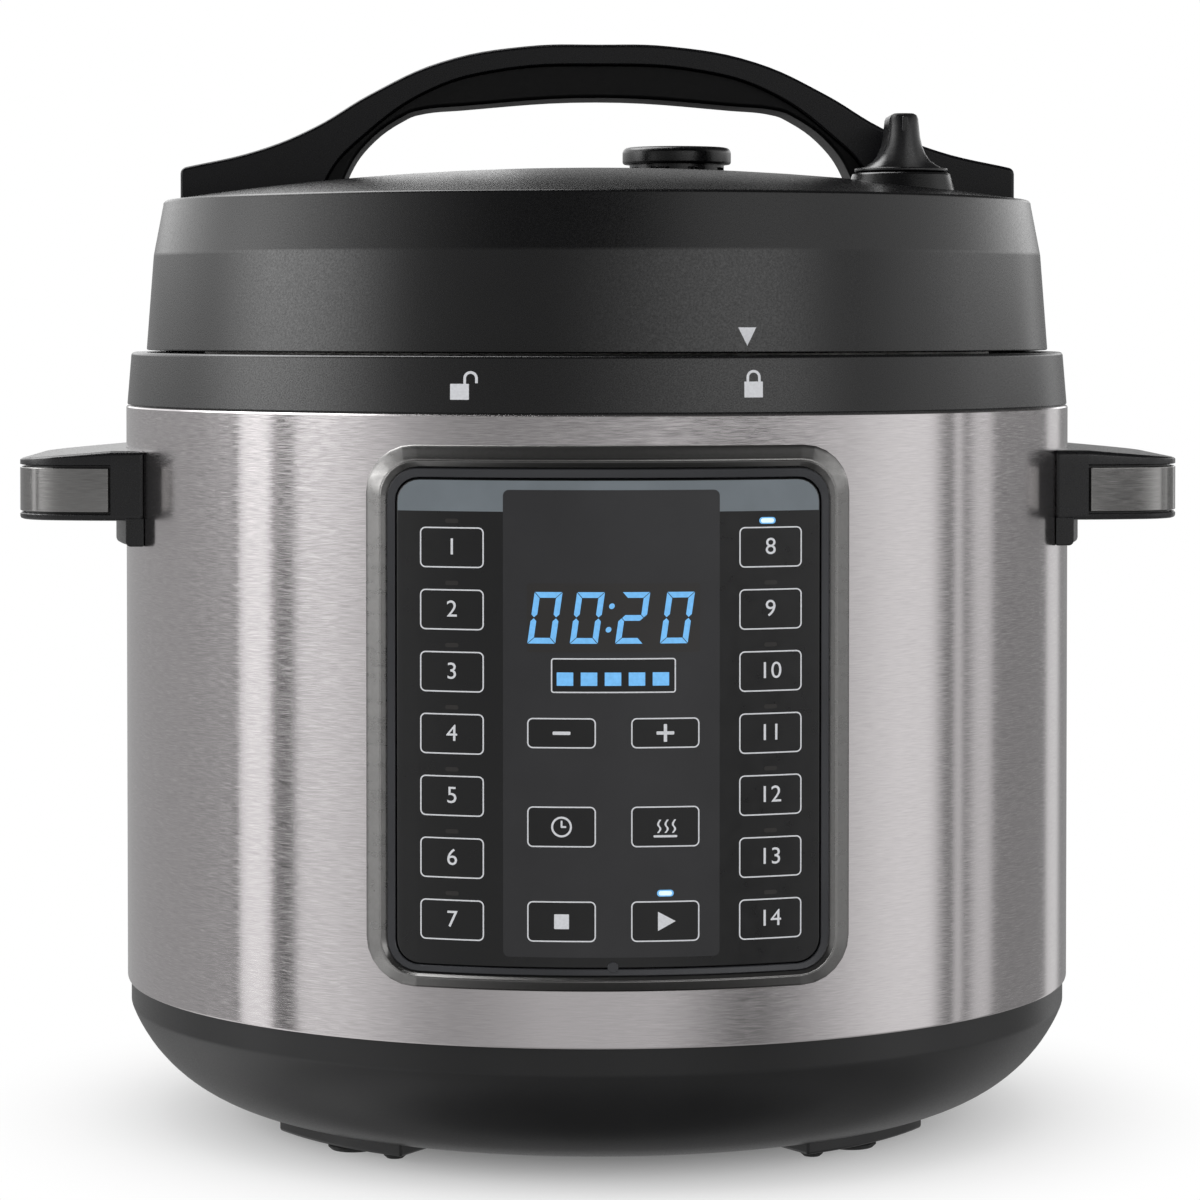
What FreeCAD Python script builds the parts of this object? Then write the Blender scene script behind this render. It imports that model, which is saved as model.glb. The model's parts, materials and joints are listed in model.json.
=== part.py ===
import FreeCAD, Part
import math
import os

from FreeCAD import Vector

# Electric multi-cooker in millimetres. Z is up from the worktop, the front faces -Y.

# Main stack, radii and heights
BODY_R = 142.0
SHEET = 0.8
BASE_Z = 5.4
FOOT_Z = 2.0
CREASE_Z = 33.5
SEAM_Z = 41.5
SPIGOT_TOP_Z = 50.0
WRAP_TOP_Z = 213.0
COLLAR_Z = 213.4
COLLAR_TOP_Z = 229.0
LID_Z = 229.6
LID_CREASE_Z = 258.0
LID_EDGE_Z = 273.0
DOME_Z = 284.2
DOME_R = 850.0
WALL = 2.6
SEAT_GAP = 0.05
FIT_GAP = 0.3

# Base
BASE_R = 140.9
BASE_FLOOR_R = 107.0
BASE_WALL = 3.0
BOWL_MID, BOWL_INNER_MID = (130.8, 18.5), (128.4, 20.6)
COVER_TOP_Z = BASE_Z + 1.6
COVER_R, COVER_LEDGE_R = 84.0, 78.0
VENT_RADII, VENT_WIDTH, VENT_HALF_ANGLE, VENT_PITCH = (38.0, 50.0, 62.0), 4.0, 12.0, 40
FOOT_ANGLES = (47.0, 133.0, 227.0, 313.0)
FOOT_R = 98.0
PLATFORM_R, PLATFORM_HALF_ANGLE = 87.0, 14.5
COVER_SCREW_R = 81.0
COVER_SCREW_ANGLES = (45.0, 135.0, 225.0, 315.0)
LINER_POST_R = 101.0

# Vessel
POT_R = 110.0
POT_WALL = 1.2
POT_Z = 63.5
POT_FLOOR = 2.5
POT_TOP_Z = 213.0
POT_RIM_R = 119.0
LINER_R = 114.0
LINER_Z = 50.0
RING_Z = 206.0
RING_R = 131.4
LUG_COUNT = 6
LUG_HALF_ANGLE = 13.0
RING_LUG_R = 121.0
RING_LUG_Z = 223.0
RING_TOP_Z = 226.0
RING_WALL, RING_SHEET = 2.0, 1.4
COLLAR_SEAT_R, COLLAR_BORE_R = 122.0, 132.0
PLATE_R, ELEMENT_R, ELEMENT_TUBE = 95.0, 70.0, 3.6
SENSOR_R = 11.5

# Lid
INNER_LID_R = 120.5
INNER_LID_Z = 219.5
INNER_LID_T = 2.9
INNER_LID_SHEET = 1.4
INNER_LID_TOP_Z = 246.0
INNER_LID_BALL = 975.0
LID_LUG_R = 128.6
LID_BOLT_R, LID_BOLT_ANGLES = 95.0, (20, 160, 200, 340)
LID_SCREW_X, LID_SCREW_Y, LID_SCREW_SEAT_Z = 104.0, 9.0, 272.4
LID_R, LID_CREASE_R, LID_EDGE_R, LID_DOME_EDGE_R = 135.9, 133.7, 130.8, 129.6
SCREW_HEAD_R, SCREW_SHANK_R = 4.0, 1.9
VALVE_HOLE_R, PIPE_R, PIPE_BORE_R = 16.0, 4.2, 2.4
FLOAT_HOLE_R, DIAL_HOLE_R = 3.8, 5.6
VALVE_XY = (26.0, 42.0)
FLOAT_XY = (-26.0, 42.0)
DIAL_XY, DIAL_BASE_Z = (88.0, -45.0), 281.6

# Lid handle
ARCH_END_X = 124.8
ARCH_HALF_Y, ARCH_BEVEL, ARCH_UNDER_BEVEL = 17.0, 1.8, 1.0
GRIP_HALF_Y, GRIP_BEVEL = 14.0, 1.8
ARCH_FOOT_Z, ARCH_FOOT_X, GRIP_FOOT_X = 272.0, 81.0, 75.4
ARCH_END_Z = 283.9

# Control panel, seen from the front
PANEL_Z = 131.1
BEZEL_W, BEZEL_H, BEZEL_CORNER = 132.0, 147.4, 13.0
OVERLAY_W, OVERLAY_H, OVERLAY_CORNER = 115.0, 131.5, 6.2
OVERLAY_Z = 129.9
FLANGE_T, RIM_INSET, RIM_T, LEDGE_T, OVERLAY_T = 1.2, 3.4, 2.6, 1.0, 1.6
FLANGE_BEVEL, RIM_BEVEL = 0.9, 1.1
KEY_SIDE_X, KEY_TOP_Z, KEY_PITCH, KEY_ROWS = 43.0, 177.6, 16.75, 7
KEY_MID_X, KEY_MID_Z = 14.0, (127.4, 102.1, 76.5)
DISPLAY_Z = 158.7
BOARD_Y, BOARD_T, POWER_BOARD_Z = -121.6, 1.6, 14.0

# Side handles
HANDLE_END_X = 171.0
HANDLE_HALF_Y = 50.0
HANDLE_Z, HANDLE_TOP_Z, HANDLE_TIP_Z = 180.1, 200.5, 198.0
HANDLE_CORNER, HANDLE_BOW_R, HANDLE_BOW_X = 16.0, 90.0, 134.0
HANDLE_ROOT_X, HANDLE_BEVEL = 120.0, 0.6
POCKET_WALL, POCKET_X, POCKET_TOP_Z = 5.0, 151.0, 194.0
PAD_T, PAD_HALF_Y, PAD_Z, PAD_CORNER = 3.1, 49.0, 172.6, 4.0
LEG_X, LEG_DEEP, LEG_CORNER, LEG_FILLET = 138.4, 4.5, 1.5, 2.0
TRIM_Z, TRIM_TOP_Z, TRIM_X, TRIM_T, TRIM_GAP = 182.5, 195.5, 143.4, 1.6, 0.5

# Back
INLET_Z = 64.0
INLET_W, INLET_H, INLET_DEEP = 30.0, 22.0, 12.0
INLET_FLANGE_W, INLET_FLANGE_H, INLET_PROUD = 42.0, 32.0, 5.0
CUP_Z, CUP_TOP_Z = 164.0, 203.0
BRACKET_T, TONGUE_X = 3.0, 27.5

CUT = 400.0
ORIGIN = Vector(0, 0, 0)
UP = Vector(0, 0, 1)


def polar(radius, degrees, z=0.0):
    """Point at an angle from the front, positive towards +X."""
    turn = math.radians(degrees)
    return Vector(radius * math.sin(turn), -radius * math.cos(turn), z)


def on_xz(y):
    return lambda u, v: Vector(u, y, v)


def on_xy(z):
    return lambda u, v: Vector(u, v, z)


def on_yz(x):
    return lambda u, v: Vector(x, u, v)


def outline(steps, place):
    """Closed wire. A step is a point, a list of two points for an arc, or a longer list for a curve."""
    ends = [place(*(s[-1] if isinstance(s, list) else s)) for s in steps]
    edges = []
    for i, step in enumerate(steps):
        start = ends[i - 1]
        if not isinstance(step, list):
            edges.append(Part.LineSegment(start, ends[i]).toShape())
            continue
        through = [place(*point) for point in step]
        if len(through) == 2:
            edges.append(Part.Arc(start, *through).toShape())
        else:
            curve = Part.BSplineCurve()
            curve.interpolate([start] + through)
            edges.append(curve.toShape())
    return Part.Wire(edges)


def lathe(*steps):
    """Solid turned about Z from (radius, height) steps."""
    return Part.Face(outline(steps, on_xz(0))).revolve(ORIGIN, UP, 360)


def prism(steps, place, along):
    return Part.Face(outline(steps, place)).extrude(along)


def rounded(width, height, corner, mid_u=0.0, mid_v=0.0):
    """Steps of a rectangle with round corners."""
    steps = []
    flat = corner_point(corner)
    for su, sv in ((1, -1), (1, 1), (-1, 1), (-1, -1)):
        u, v = mid_u + su * width / 2, mid_v + sv * height / 2
        before = (u, v - sv * corner) if su * sv > 0 else (u - su * corner, v)
        after = (u - su * corner, v) if su * sv > 0 else (u, v - sv * corner)
        steps += [before, [(u - su * flat, v - sv * flat), after]]
    return steps


def rod(radius, low, high, x=0.0, y=0.0):
    return Part.makeCylinder(radius, high - low, Vector(x, y, low))


def ring(inner, outer, low, high, x=0.0, y=0.0):
    return rod(outer, low, high, x, y).cut(rod(inner, low, high, x, y))


def block(x0, x1, y0, y1, z0, z1):
    return Part.makeBox(x1 - x0, y1 - y0, z1 - z0, Vector(x0, y0, z0))


def sector(inner, outer, low, high, middle, half):
    """Part of a ring, half an angle each side of its middle."""
    first, last = middle - half, middle + half
    edges = [
        Part.Arc(polar(outer, first, low), polar(outer, middle, low), polar(outer, last, low)).toShape(),
        Part.LineSegment(polar(outer, last, low), polar(inner, last, low)).toShape(),
        Part.Arc(polar(inner, last, low), polar(inner, middle, low), polar(inner, first, low)).toShape(),
        Part.LineSegment(polar(inner, first, low), polar(outer, first, low)).toShape(),
    ]
    return Part.Face(Part.Wire(edges)).extrude(Vector(0, 0, high - low))


def corner_point(corner):
    """Distance from a square corner to the middle of its rounding, along each side."""
    return corner * (1 - math.sqrt(0.5))


def curves_of(shape, low, high):
    """Free curves among a shape's edges whose tops lie between two heights."""
    splines = [e for e in shape.Edges if e.Curve.TypeId == "Part::GeomBSplineCurve"]
    return [e for e in splines if low < e.BoundBox.ZMax < high]


def edges_at(shape, radius, half_width=CUT, half_height=CUT):
    """Edges on a cylinder about Z, within a window round the overlay's middle."""
    found = []
    for edge in shape.Edges:
        points = edge.discretize(5)
        on_it = all(abs(math.hypot(p.x, p.y) - radius) < 0.01 for p in points)
        wide = max(abs(p.x) for p in points)
        high = max(abs(p.z - OVERLAY_Z) for p in points)
        if on_it and wide < half_width and high < half_height:
            found.append(edge)
    return found


def moved(shape, x, y, z=0.0):
    copy = shape.copy()
    copy.translate(Vector(x, y, z))
    return copy


def turned(shape, degrees, centre=ORIGIN, axis=UP):
    copy = shape.copy()
    copy.rotate(centre, axis, degrees)
    return copy


def mirrored(shape):
    return shape.mirror(ORIGIN, Vector(1, 0, 0))


def cap_z(radius, apex, ball):
    """Height of a ball's top cap at a radius from the axis."""
    return apex - ball + math.sqrt(ball ** 2 - radius ** 2)


def dome_z(radius):
    return cap_z(radius, DOME_Z, DOME_R)


def dome_ball():
    return Part.makeSphere(DOME_R, Vector(0, 0, DOME_Z - DOME_R))


def on_body(steps, inner, outer):
    """Front outline wrapped on the round body between two radii."""
    tool = prism(steps, on_xz(-CUT), Vector(0, CUT, 0))
    return ring(inner, outer, 0, CUT).common(tool)


def save(name, *shapes):
    shape = shapes[0] if len(shapes) == 1 else Part.makeCompound(list(shapes))
    if not shape.isValid() or shape.Volume <= 0:
        raise ValueError(name)
    shape.exportStep(os.path.join("parts", name + ".step"))


# Base and feet

def base_shell():
    crease, post_r, boss_r, boss_z = 1.2, 5.0, 4.0, 16.0
    inner_r, inner_z = BASE_R - BASE_WALL, BASE_Z + BASE_WALL
    shell = lathe(
        (COVER_LEDGE_R, COVER_TOP_Z), (COVER_R, COVER_TOP_Z), (COVER_R, BASE_Z), (BASE_FLOOR_R, BASE_Z),
        [BOWL_MID, (BASE_R - FIT_GAP, CREASE_Z)], (BASE_R, CREASE_Z + crease), (BASE_R, SPIGOT_TOP_Z),
        (inner_r, SPIGOT_TOP_Z), (inner_r, CREASE_Z + 1), [BOWL_INNER_MID, (BASE_FLOOR_R, inner_z)],
        (COVER_LEDGE_R, inner_z))
    post_z = COVER_TOP_Z + 0.5
    posts = [rod(post_r, post_z, LINER_Z, *polar(LINER_POST_R, a)[:2]) for a in (0, 90, 180, 270)]
    platforms = [sector(PLATFORM_R, BASE_FLOOR_R, FOOT_Z, inner_z - 1, a, PLATFORM_HALF_ANGLE)
                 for a in FOOT_ANGLES]
    screw_bosses = [rod(boss_r, COVER_TOP_Z, boss_z, *polar(COVER_SCREW_R, a)[:2])
                    for a in COVER_SCREW_ANGLES]
    shell = shell.multiFuse(posts + platforms + screw_bosses)
    return shell.cut(Part.makeCompound(foot_pads() + cover_screws()))


def foot_pads():
    """Round pads and smaller studs, plugged into the foot platforms."""
    pad_r, stem_r, stem_z, stud_r, stud_z, stud_turn = 7.4, 4.0, 5.0, 3.2, 4.0, 10.5
    bevel, bevel_z = 0.9, 0.8
    pad = lathe((0, 0), (pad_r - bevel, 0), (pad_r, bevel_z), (pad_r, FOOT_Z), (stem_r, FOOT_Z),
                (stem_r, stem_z), (0, stem_z))
    stud = lathe((0, 0), (stud_r - bevel, 0), (stud_r, bevel_z), (stud_r, stud_z), (0, stud_z))
    pads = []
    for angle in FOOT_ANGLES:
        towards_side = stud_turn if angle in FOOT_ANGLES[:3:2] else -stud_turn
        pads.append(moved(pad, *polar(FOOT_R, angle)[:2]))
        pads.append(moved(stud, *polar(FOOT_R + 2, angle - towards_side)[:2]))
    return pads


def cover_screws():
    head_r, shank_r, head_h, tip_z = 3.6, 1.7, 1.5, 15.0
    screw = lathe((0, BASE_Z), (head_r, BASE_Z), (shank_r, BASE_Z + head_h), (shank_r, tip_z - 1), (0, tip_z))
    return [moved(screw, *polar(COVER_SCREW_R, a)[:2]) for a in COVER_SCREW_ANGLES]


def bottom_cover():
    """Dished plate with rings of vent slots."""
    dish, dish_r, edge = 1.2, 24.0, COVER_R - FIT_GAP
    slope_r = dish_r + 3
    cover = lathe((0, BASE_Z + dish), (dish_r, BASE_Z + dish), (slope_r, BASE_Z), (edge, BASE_Z),
                  (edge, COVER_TOP_Z), (slope_r, COVER_TOP_Z), (dish_r, COVER_TOP_Z + dish),
                  (0, COVER_TOP_Z + dish))
    slots = []
    for radius in VENT_RADII:
        slots += [sector(radius, radius + VENT_WIDTH, 0, CREASE_Z, a, VENT_HALF_ANGLE)
                  for a in range(0, 360, VENT_PITCH)]
    return cover.cut(Part.makeCompound(slots + cover_screws()))


# Body shell

def steel_wrap():
    inner, room = BODY_R - SHEET, 0.5
    wrap = lathe((inner, SEAM_Z), (BODY_R - 0.5, SEAM_Z), (BODY_R, SEAM_Z + 0.7),
                 (BODY_R, WRAP_TOP_Z), (inner, WRAP_TOP_Z))
    window = prism(panel_frame_outline(room), on_xz(-CUT), Vector(0, CUT, 0))
    socket = prism(rounded(INLET_W + room, INLET_H + room, 2.0, 0, INLET_Z), on_xz(0), Vector(0, CUT, 0))
    return wrap.cut(Part.makeCompound([window, socket] + handle_screws(FIT_GAP)))


def upper_collar():
    seat_z, spigot = RING_Z - 2.5, BODY_R - SHEET - 0.5
    rim_r, bevel = BODY_R - 1.5, 0.6
    return lathe((COLLAR_SEAT_R, seat_z), (spigot, seat_z), (spigot, COLLAR_Z), (BODY_R - FIT_GAP, COLLAR_Z),
                 (rim_r, COLLAR_TOP_Z - bevel), (rim_r - bevel, COLLAR_TOP_Z),
                 (COLLAR_BORE_R, COLLAR_TOP_Z), (COLLAR_BORE_R, RING_Z), (COLLAR_SEAT_R, RING_Z))


def locking_ring():
    """Twist-lock ring: an angle section with lugs that reach in over the lid's own."""
    wall, sheet_z = RING_R - RING_WALL, RING_Z + RING_SHEET
    body = lathe((LINER_R + 1, RING_Z), (RING_R, RING_Z), (RING_R, RING_TOP_Z), (wall, RING_TOP_Z),
                 (wall, sheet_z), (LINER_R + 1, sheet_z))
    lugs = [sector(RING_LUG_R, wall + 1, RING_LUG_Z, RING_TOP_Z, i * 360 / LUG_COUNT, LUG_HALF_ANGLE)
            for i in range(LUG_COUNT)]
    return body.multiFuse(lugs)


def liner():
    """Outer vessel of thin sheet with a rounded floor edge and a flange under the locking ring."""
    outer, floor_r, flange_r, bend, sheet = LINER_R + 1, 84.0, 121.5, 4.0, 1.2
    flange_z = RING_Z - RING_SHEET
    return lathe((floor_r, LINER_Z), (outer - bend, LINER_Z),
                 [(outer - sheet, LINER_Z + sheet), (outer, LINER_Z + bend)],
                 (outer, flange_z), (flange_r, flange_z), (flange_r, RING_Z), (LINER_R, RING_Z),
                 (LINER_R, LINER_Z + bend), [(LINER_R - 0.9, LINER_Z + 2.1), (outer - bend, LINER_Z + sheet)],
                 (floor_r, LINER_Z + sheet))


def heat_plate():
    """Cast plate, thicker where the element lies in it."""
    bore, low, rib_low, rib_half, slope = 13.0, POT_Z - 5, POT_Z - 10, 9.0, 3.0
    rib_in, rib_out = ELEMENT_R - rib_half, ELEMENT_R + rib_half
    plate = lathe((bore, low), (rib_in - slope, low), (rib_in, rib_low), (rib_out, rib_low),
                  (rib_out + slope, low), (PLATE_R, low), (PLATE_R, POT_Z - 1), (PLATE_R - 2, POT_Z),
                  (bore, POT_Z))
    return plate.cut(Part.makeCompound(heating_element()))


def heating_element():
    """Open loop of tube with two terminals that hang down at the back."""
    mid_z, reach, back, gap_half, end_turn, end_length = POT_Z - 10.0, 6.0, 180, 9, 12, 16.0
    loop = Part.makeTorus(ELEMENT_R, ELEMENT_TUBE, Vector(0, 0, mid_z))
    gap = sector(ELEMENT_R - reach, ELEMENT_R + reach, mid_z - reach, mid_z + reach, back, gap_half)
    ends = [rod(ELEMENT_TUBE - 0.6, mid_z - end_length, mid_z, *polar(ELEMENT_R, back + side * end_turn)[:2])
            for side in (-1, 1)]
    return [loop.cut(gap).multiFuse(ends)]


def plate_brackets():
    """Three feet that stand on the liner's floor and carry the heating plate."""
    inner, outer, step, half_w = 86.0, 98.0, 93.0, 7.0
    low, foot_z, top = LINER_Z + 1.2, LINER_Z + 2.6, POT_Z - 5
    bracket = [(inner, low), (outer, low), (outer, foot_z), (step, foot_z), (step, top), (inner, top)]
    blade = prism(bracket, on_xz(-half_w), Vector(0, 2 * half_w, 0))
    return [turned(blade, a) for a in (30, 150, 270)]


def temp_sensor():
    """Sprung cap that touches the pot's floor."""
    height, sheet, top_sheet = 14.0, 1.2, 1.6
    inner, low = SENSOR_R - sheet, POT_Z - height
    return lathe((0, POT_Z), (SENSOR_R - 1, POT_Z), (SENSOR_R, POT_Z - 1), (SENSOR_R, low), (inner, low),
                 (inner, POT_Z - top_sheet), (0, POT_Z - top_sheet))


def pressure_switch():
    """Switch body on a bridge that stands on the bottom cover."""
    low, stem_r, plate_r, reach, half_w = 26.0, 6.0, 16.0, 46.0, 6.0
    arm_z, top, leg_x = low + 2, low + 3.5, 45.5
    plate = ring(stem_r, plate_r, low, arm_z)
    stem = rod(stem_r, low - 6, low + 5)
    arms = block(-reach, reach, -half_w, half_w, arm_z, top).cut(rod(stem_r, 0, CUT))
    legs = [block(s * leg_x - 2, s * leg_x + 2, -half_w, half_w, COVER_TOP_Z, top) for s in (-1, 1)]
    return plate.multiFuse([stem, arms] + legs)


def thermal_fuse():
    """Fuse tube held by a strap on the liner's back."""
    wall_y, half_w, shelf_z, tube_r, tube_l = LINER_R + 1, 4.0, 96.0, 3.0, 22.0
    shelf = block(-half_w, half_w, wall_y - 0.4, wall_y + 7, shelf_z, shelf_z + 1.5)
    strap = shelf.fuse(block(-half_w, half_w, wall_y - 0.4, wall_y + 1.2, shelf_z - 6, shelf_z + 8))
    tube = Part.makeCylinder(tube_r, tube_l, Vector(-tube_l / 2, wall_y + 5, shelf_z + 4.5), Vector(1, 0, 0))
    return strap.cut(rod(wall_y, 0, CUT)).fuse(tube)


# Control panel

def bezel_prism(inset, corner):
    return rounded(BEZEL_W - 2 * inset, BEZEL_H - 2 * inset, corner, 0, PANEL_Z)


def panel_frame_outline(room):
    """Frame that stands in the sheet's window, with room all round."""
    return rounded(BEZEL_W - 14 + room, BEZEL_H - 13.4 + room, 7.5 + room, 0, PANEL_Z)


def panel_bezel():
    """Bevelled flange and rim on the sheet, a frame through it and a ledge for the overlay."""
    flange_r, rim_r, seat = BODY_R + FLANGE_T, BODY_R + RIM_T, BODY_R + SEAT_GAP
    frame_r, outside, gap, ledge_w = BODY_R - 6, BODY_R + 9, 0.8, 3.5
    flange = on_body(bezel_prism(0, BEZEL_CORNER), seat, flange_r)
    flange = flange.makeChamfer(FLANGE_BEVEL, edges_at(flange, flange_r))
    rim = on_body(bezel_prism(RIM_INSET, BEZEL_CORNER - 2), seat, rim_r)
    rim = rim.makeChamfer(RIM_BEVEL, edges_at(rim, rim_r))
    frame = on_body(panel_frame_outline(-0.5), frame_r, BODY_R + 0.5)
    recess = on_body(rounded(OVERLAY_W + gap, OVERLAY_H + gap, OVERLAY_CORNER + gap / 2, 0, OVERLAY_Z),
                     BODY_R + LEDGE_T, outside)
    opening = rounded(OVERLAY_W - 2 * ledge_w, OVERLAY_H - 2 * ledge_w, OVERLAY_CORNER - 1, 0, OVERLAY_Z)
    window = on_body(opening, BODY_R - 20, outside)
    bezel = flange.multiFuse([rim, frame]).cut(Part.makeCompound([recess, window]))
    inner = edges_at(bezel, rim_r, OVERLAY_W / 2 + gap, OVERLAY_H / 2 + gap)
    return bezel.makeChamfer(RIM_BEVEL, inner)


def panel_overlay():
    steps = rounded(OVERLAY_W, OVERLAY_H, OVERLAY_CORNER, 0, OVERLAY_Z)
    return on_body(steps, BODY_R + LEDGE_T + SEAT_GAP, BODY_R + OVERLAY_T)


def key_places():
    sides = [(side * KEY_SIDE_X, KEY_TOP_Z - KEY_PITCH * row) for row in range(KEY_ROWS) for side in (-1, 1)]
    return sides + [(side * KEY_MID_X, z) for z in KEY_MID_Z for side in (-1, 1)]


def control_board():
    """Board with a switch and its plunger behind every key."""
    half_w, half_h, case, plunger_r, key_gap = 50.0, 58.0, 3.0, 1.6, 1.5
    board = block(-half_w, half_w, BOARD_Y, BOARD_Y + BOARD_T, OVERLAY_Z - half_h, OVERLAY_Z + half_h)
    switches = []
    for x, z in key_places():
        tip_y = -math.sqrt(BODY_R ** 2 - x ** 2) + key_gap
        switches.append(block(x - case, x + case, BOARD_Y - 4, BOARD_Y + 0.5, z - case, z + case))
        switches.append(Part.makeCylinder(plunger_r, BOARD_Y - tip_y, Vector(x, tip_y, z), Vector(0, 1, 0)))
    return board.multiFuse(switches)


def display_module():
    half_w, half_h, front_y = 25.2, 9.5, -138.0
    return block(-half_w, half_w, front_y, BOARD_Y, DISPLAY_Z - half_h, DISPLAY_Z + half_h)


def power_board():
    """Mains board with its relay, capacitor, choke and terminal strip."""
    top = POWER_BOARD_Z + BOARD_T
    board = block(-40, 40, 38, 92, POWER_BOARD_Z, top)
    relay = block(-34, -14, 52, 68, top, top + 16)
    capacitor = rod(6.5, top, top + 20, 4, 58)
    choke = ring(4.0, 9.5, top, top + 9, 26, 78)
    strip = block(-34, 6, 78, 88, top, top + 10)
    return board.multiFuse([relay, capacitor, choke, strip])


def board_pillars():
    """Standoffs between the bottom cover and the power board."""
    bore, radius, x_places, y_places = 1.2, 3.5, (-34.0, 34.0), (47.0, 63.5)
    return [ring(bore, radius, COVER_TOP_Z, POWER_BOARD_Z, x, y) for x in x_places for y in y_places]


# Side handles, modelled on the right and mirrored

def handle_plan(inset, low, high):
    """Plan of a handle: sides that bow in towards round corners at its end."""
    end, half = HANDLE_END_X - inset, HANDLE_HALF_Y - inset
    corner, bow = HANDLE_CORNER - inset, HANDLE_BOW_R - inset
    corner_x = end - corner
    sweep = math.asin((corner_x - HANDLE_BOW_X) / (bow - corner))
    corner_y = (bow - corner) * math.cos(sweep) - (bow - half)

    def bow_point(turn):
        return HANDLE_BOW_X + bow * math.sin(turn), half - bow * (1 - math.cos(turn))

    def corner_arc_point(turn):
        return corner_x + corner * math.sin(turn), corner_y + corner * math.cos(turn)

    middle = (sweep + math.pi / 2) / 2
    side = [bow_point(sweep / 2), bow_point(sweep), corner_arc_point(middle), (end, corner_y)]
    near = [(x, -y) for x, y in side]
    steps = [(HANDLE_ROOT_X, -half), (HANDLE_BOW_X, -half), near[:2], near[2:], side[3], [side[2], side[1]],
             [side[0], (HANDLE_BOW_X, half)], (HANDLE_ROOT_X, half)]
    return prism(steps, on_xy(low), Vector(0, 0, high - low))


def handle_lug():
    """Grip with a top that slopes down to its end, bevelled along its edges."""
    far = HANDLE_END_X + 5
    tip_z = HANDLE_TOP_Z - (HANDLE_TOP_Z - HANDLE_TIP_Z) * (far - BODY_R) / (HANDLE_END_X - BODY_R)
    slope = [(HANDLE_ROOT_X, HANDLE_Z), (far, HANDLE_Z), (far, tip_z), (BODY_R, HANDLE_TOP_Z),
             (HANDLE_ROOT_X, HANDLE_TOP_Z)]
    lug = prism(slope, on_xz(-CUT), Vector(0, 2 * CUT, 0)).common(handle_plan(0, 0, CUT))
    rims = [e for e in lug.Edges if e.BoundBox.ZMin > TRIM_TOP_Z and e.BoundBox.XMax > BODY_R + 1
            and e.BoundBox.XMin > HANDLE_ROOT_X + 1]
    rims += [e for e in lug.Edges if abs(e.BoundBox.ZMin - HANDLE_TOP_Z) < 0.01 and e.BoundBox.YLength < 1]
    return lug.makeChamfer(HANDLE_BEVEL, rims)


def handle_leg():
    """Foot of the handle's near side wall, flush with its face."""
    root, top = LEG_X - 10, HANDLE_Z + LEG_FILLET
    turn, fold = corner_point(LEG_CORNER), corner_point(LEG_FILLET)
    side = [(root, PAD_Z), (LEG_X - LEG_CORNER, PAD_Z),
            [(LEG_X - turn, PAD_Z + turn), (LEG_X, PAD_Z + LEG_CORNER)], (LEG_X, HANDLE_Z - LEG_FILLET),
            [(LEG_X + fold, HANDLE_Z - fold), (LEG_X + LEG_FILLET, HANDLE_Z)],
            (LEG_X + LEG_FILLET, top), (root, top)]
    return prism(side, on_xz(-HANDLE_HALF_Y), Vector(0, LEG_DEEP, 0))


def right_handle():
    leg = handle_leg()
    pad_height = HANDLE_TOP_Z - PAD_Z
    pad_outline = rounded(2 * PAD_HALF_Y, pad_height, PAD_CORNER, 0, PAD_Z + pad_height / 2)
    pad = ring(BODY_R + SEAT_GAP, BODY_R + PAD_T, PAD_Z, HANDLE_TOP_Z)
    pad = pad.common(prism(pad_outline, on_yz(0), Vector(CUT, 0, 0)))
    pocket = handle_plan(POCKET_WALL, 0, POCKET_TOP_Z).common(block(POCKET_X, CUT, -CUT, CUT, 0, CUT))
    recess = handle_plan(-1, TRIM_Z - TRIM_GAP, TRIM_TOP_Z + TRIM_GAP).cut(handle_plan(TRIM_T, 0, CUT))
    recess = recess.common(block(TRIM_X - TRIM_GAP, CUT, -CUT, CUT, 0, CUT))
    tools = [rod(BODY_R + SEAT_GAP, 0, CUT), pocket, recess] + handle_screws(0)[:2]
    legs = [leg, leg.mirror(ORIGIN, Vector(0, 1, 0))]
    return handle_lug().multiFuse([pad] + legs).cut(Part.makeCompound(tools))


def right_handle_trim():
    band = handle_plan(0, TRIM_Z, TRIM_TOP_Z).cut(handle_plan(TRIM_T, 0, CUT))
    return band.common(block(TRIM_X, CUT, -CUT, CUT, 0, CUT))


def handle_screws(clearance):
    screw_y, screw_z, shank_r, shank_l, head_h = 30.0, 188.0, 2.0, 14.0, 3.0
    head_x = math.sqrt((BODY_R - SHEET) ** 2 - (screw_y + SCREW_HEAD_R) ** 2) - 0.2
    along = Vector(1, 0, 0)
    screws = []
    for y in (-screw_y, screw_y):
        head = Part.makeCylinder(SCREW_HEAD_R, head_h, Vector(head_x - head_h, y, screw_z), along)
        shank = Part.makeCylinder(shank_r + clearance, shank_l, Vector(head_x, y, screw_z), along)
        screws.append(head.fuse(shank))
    return screws + [mirrored(s) for s in screws]


# Back of the body

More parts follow.
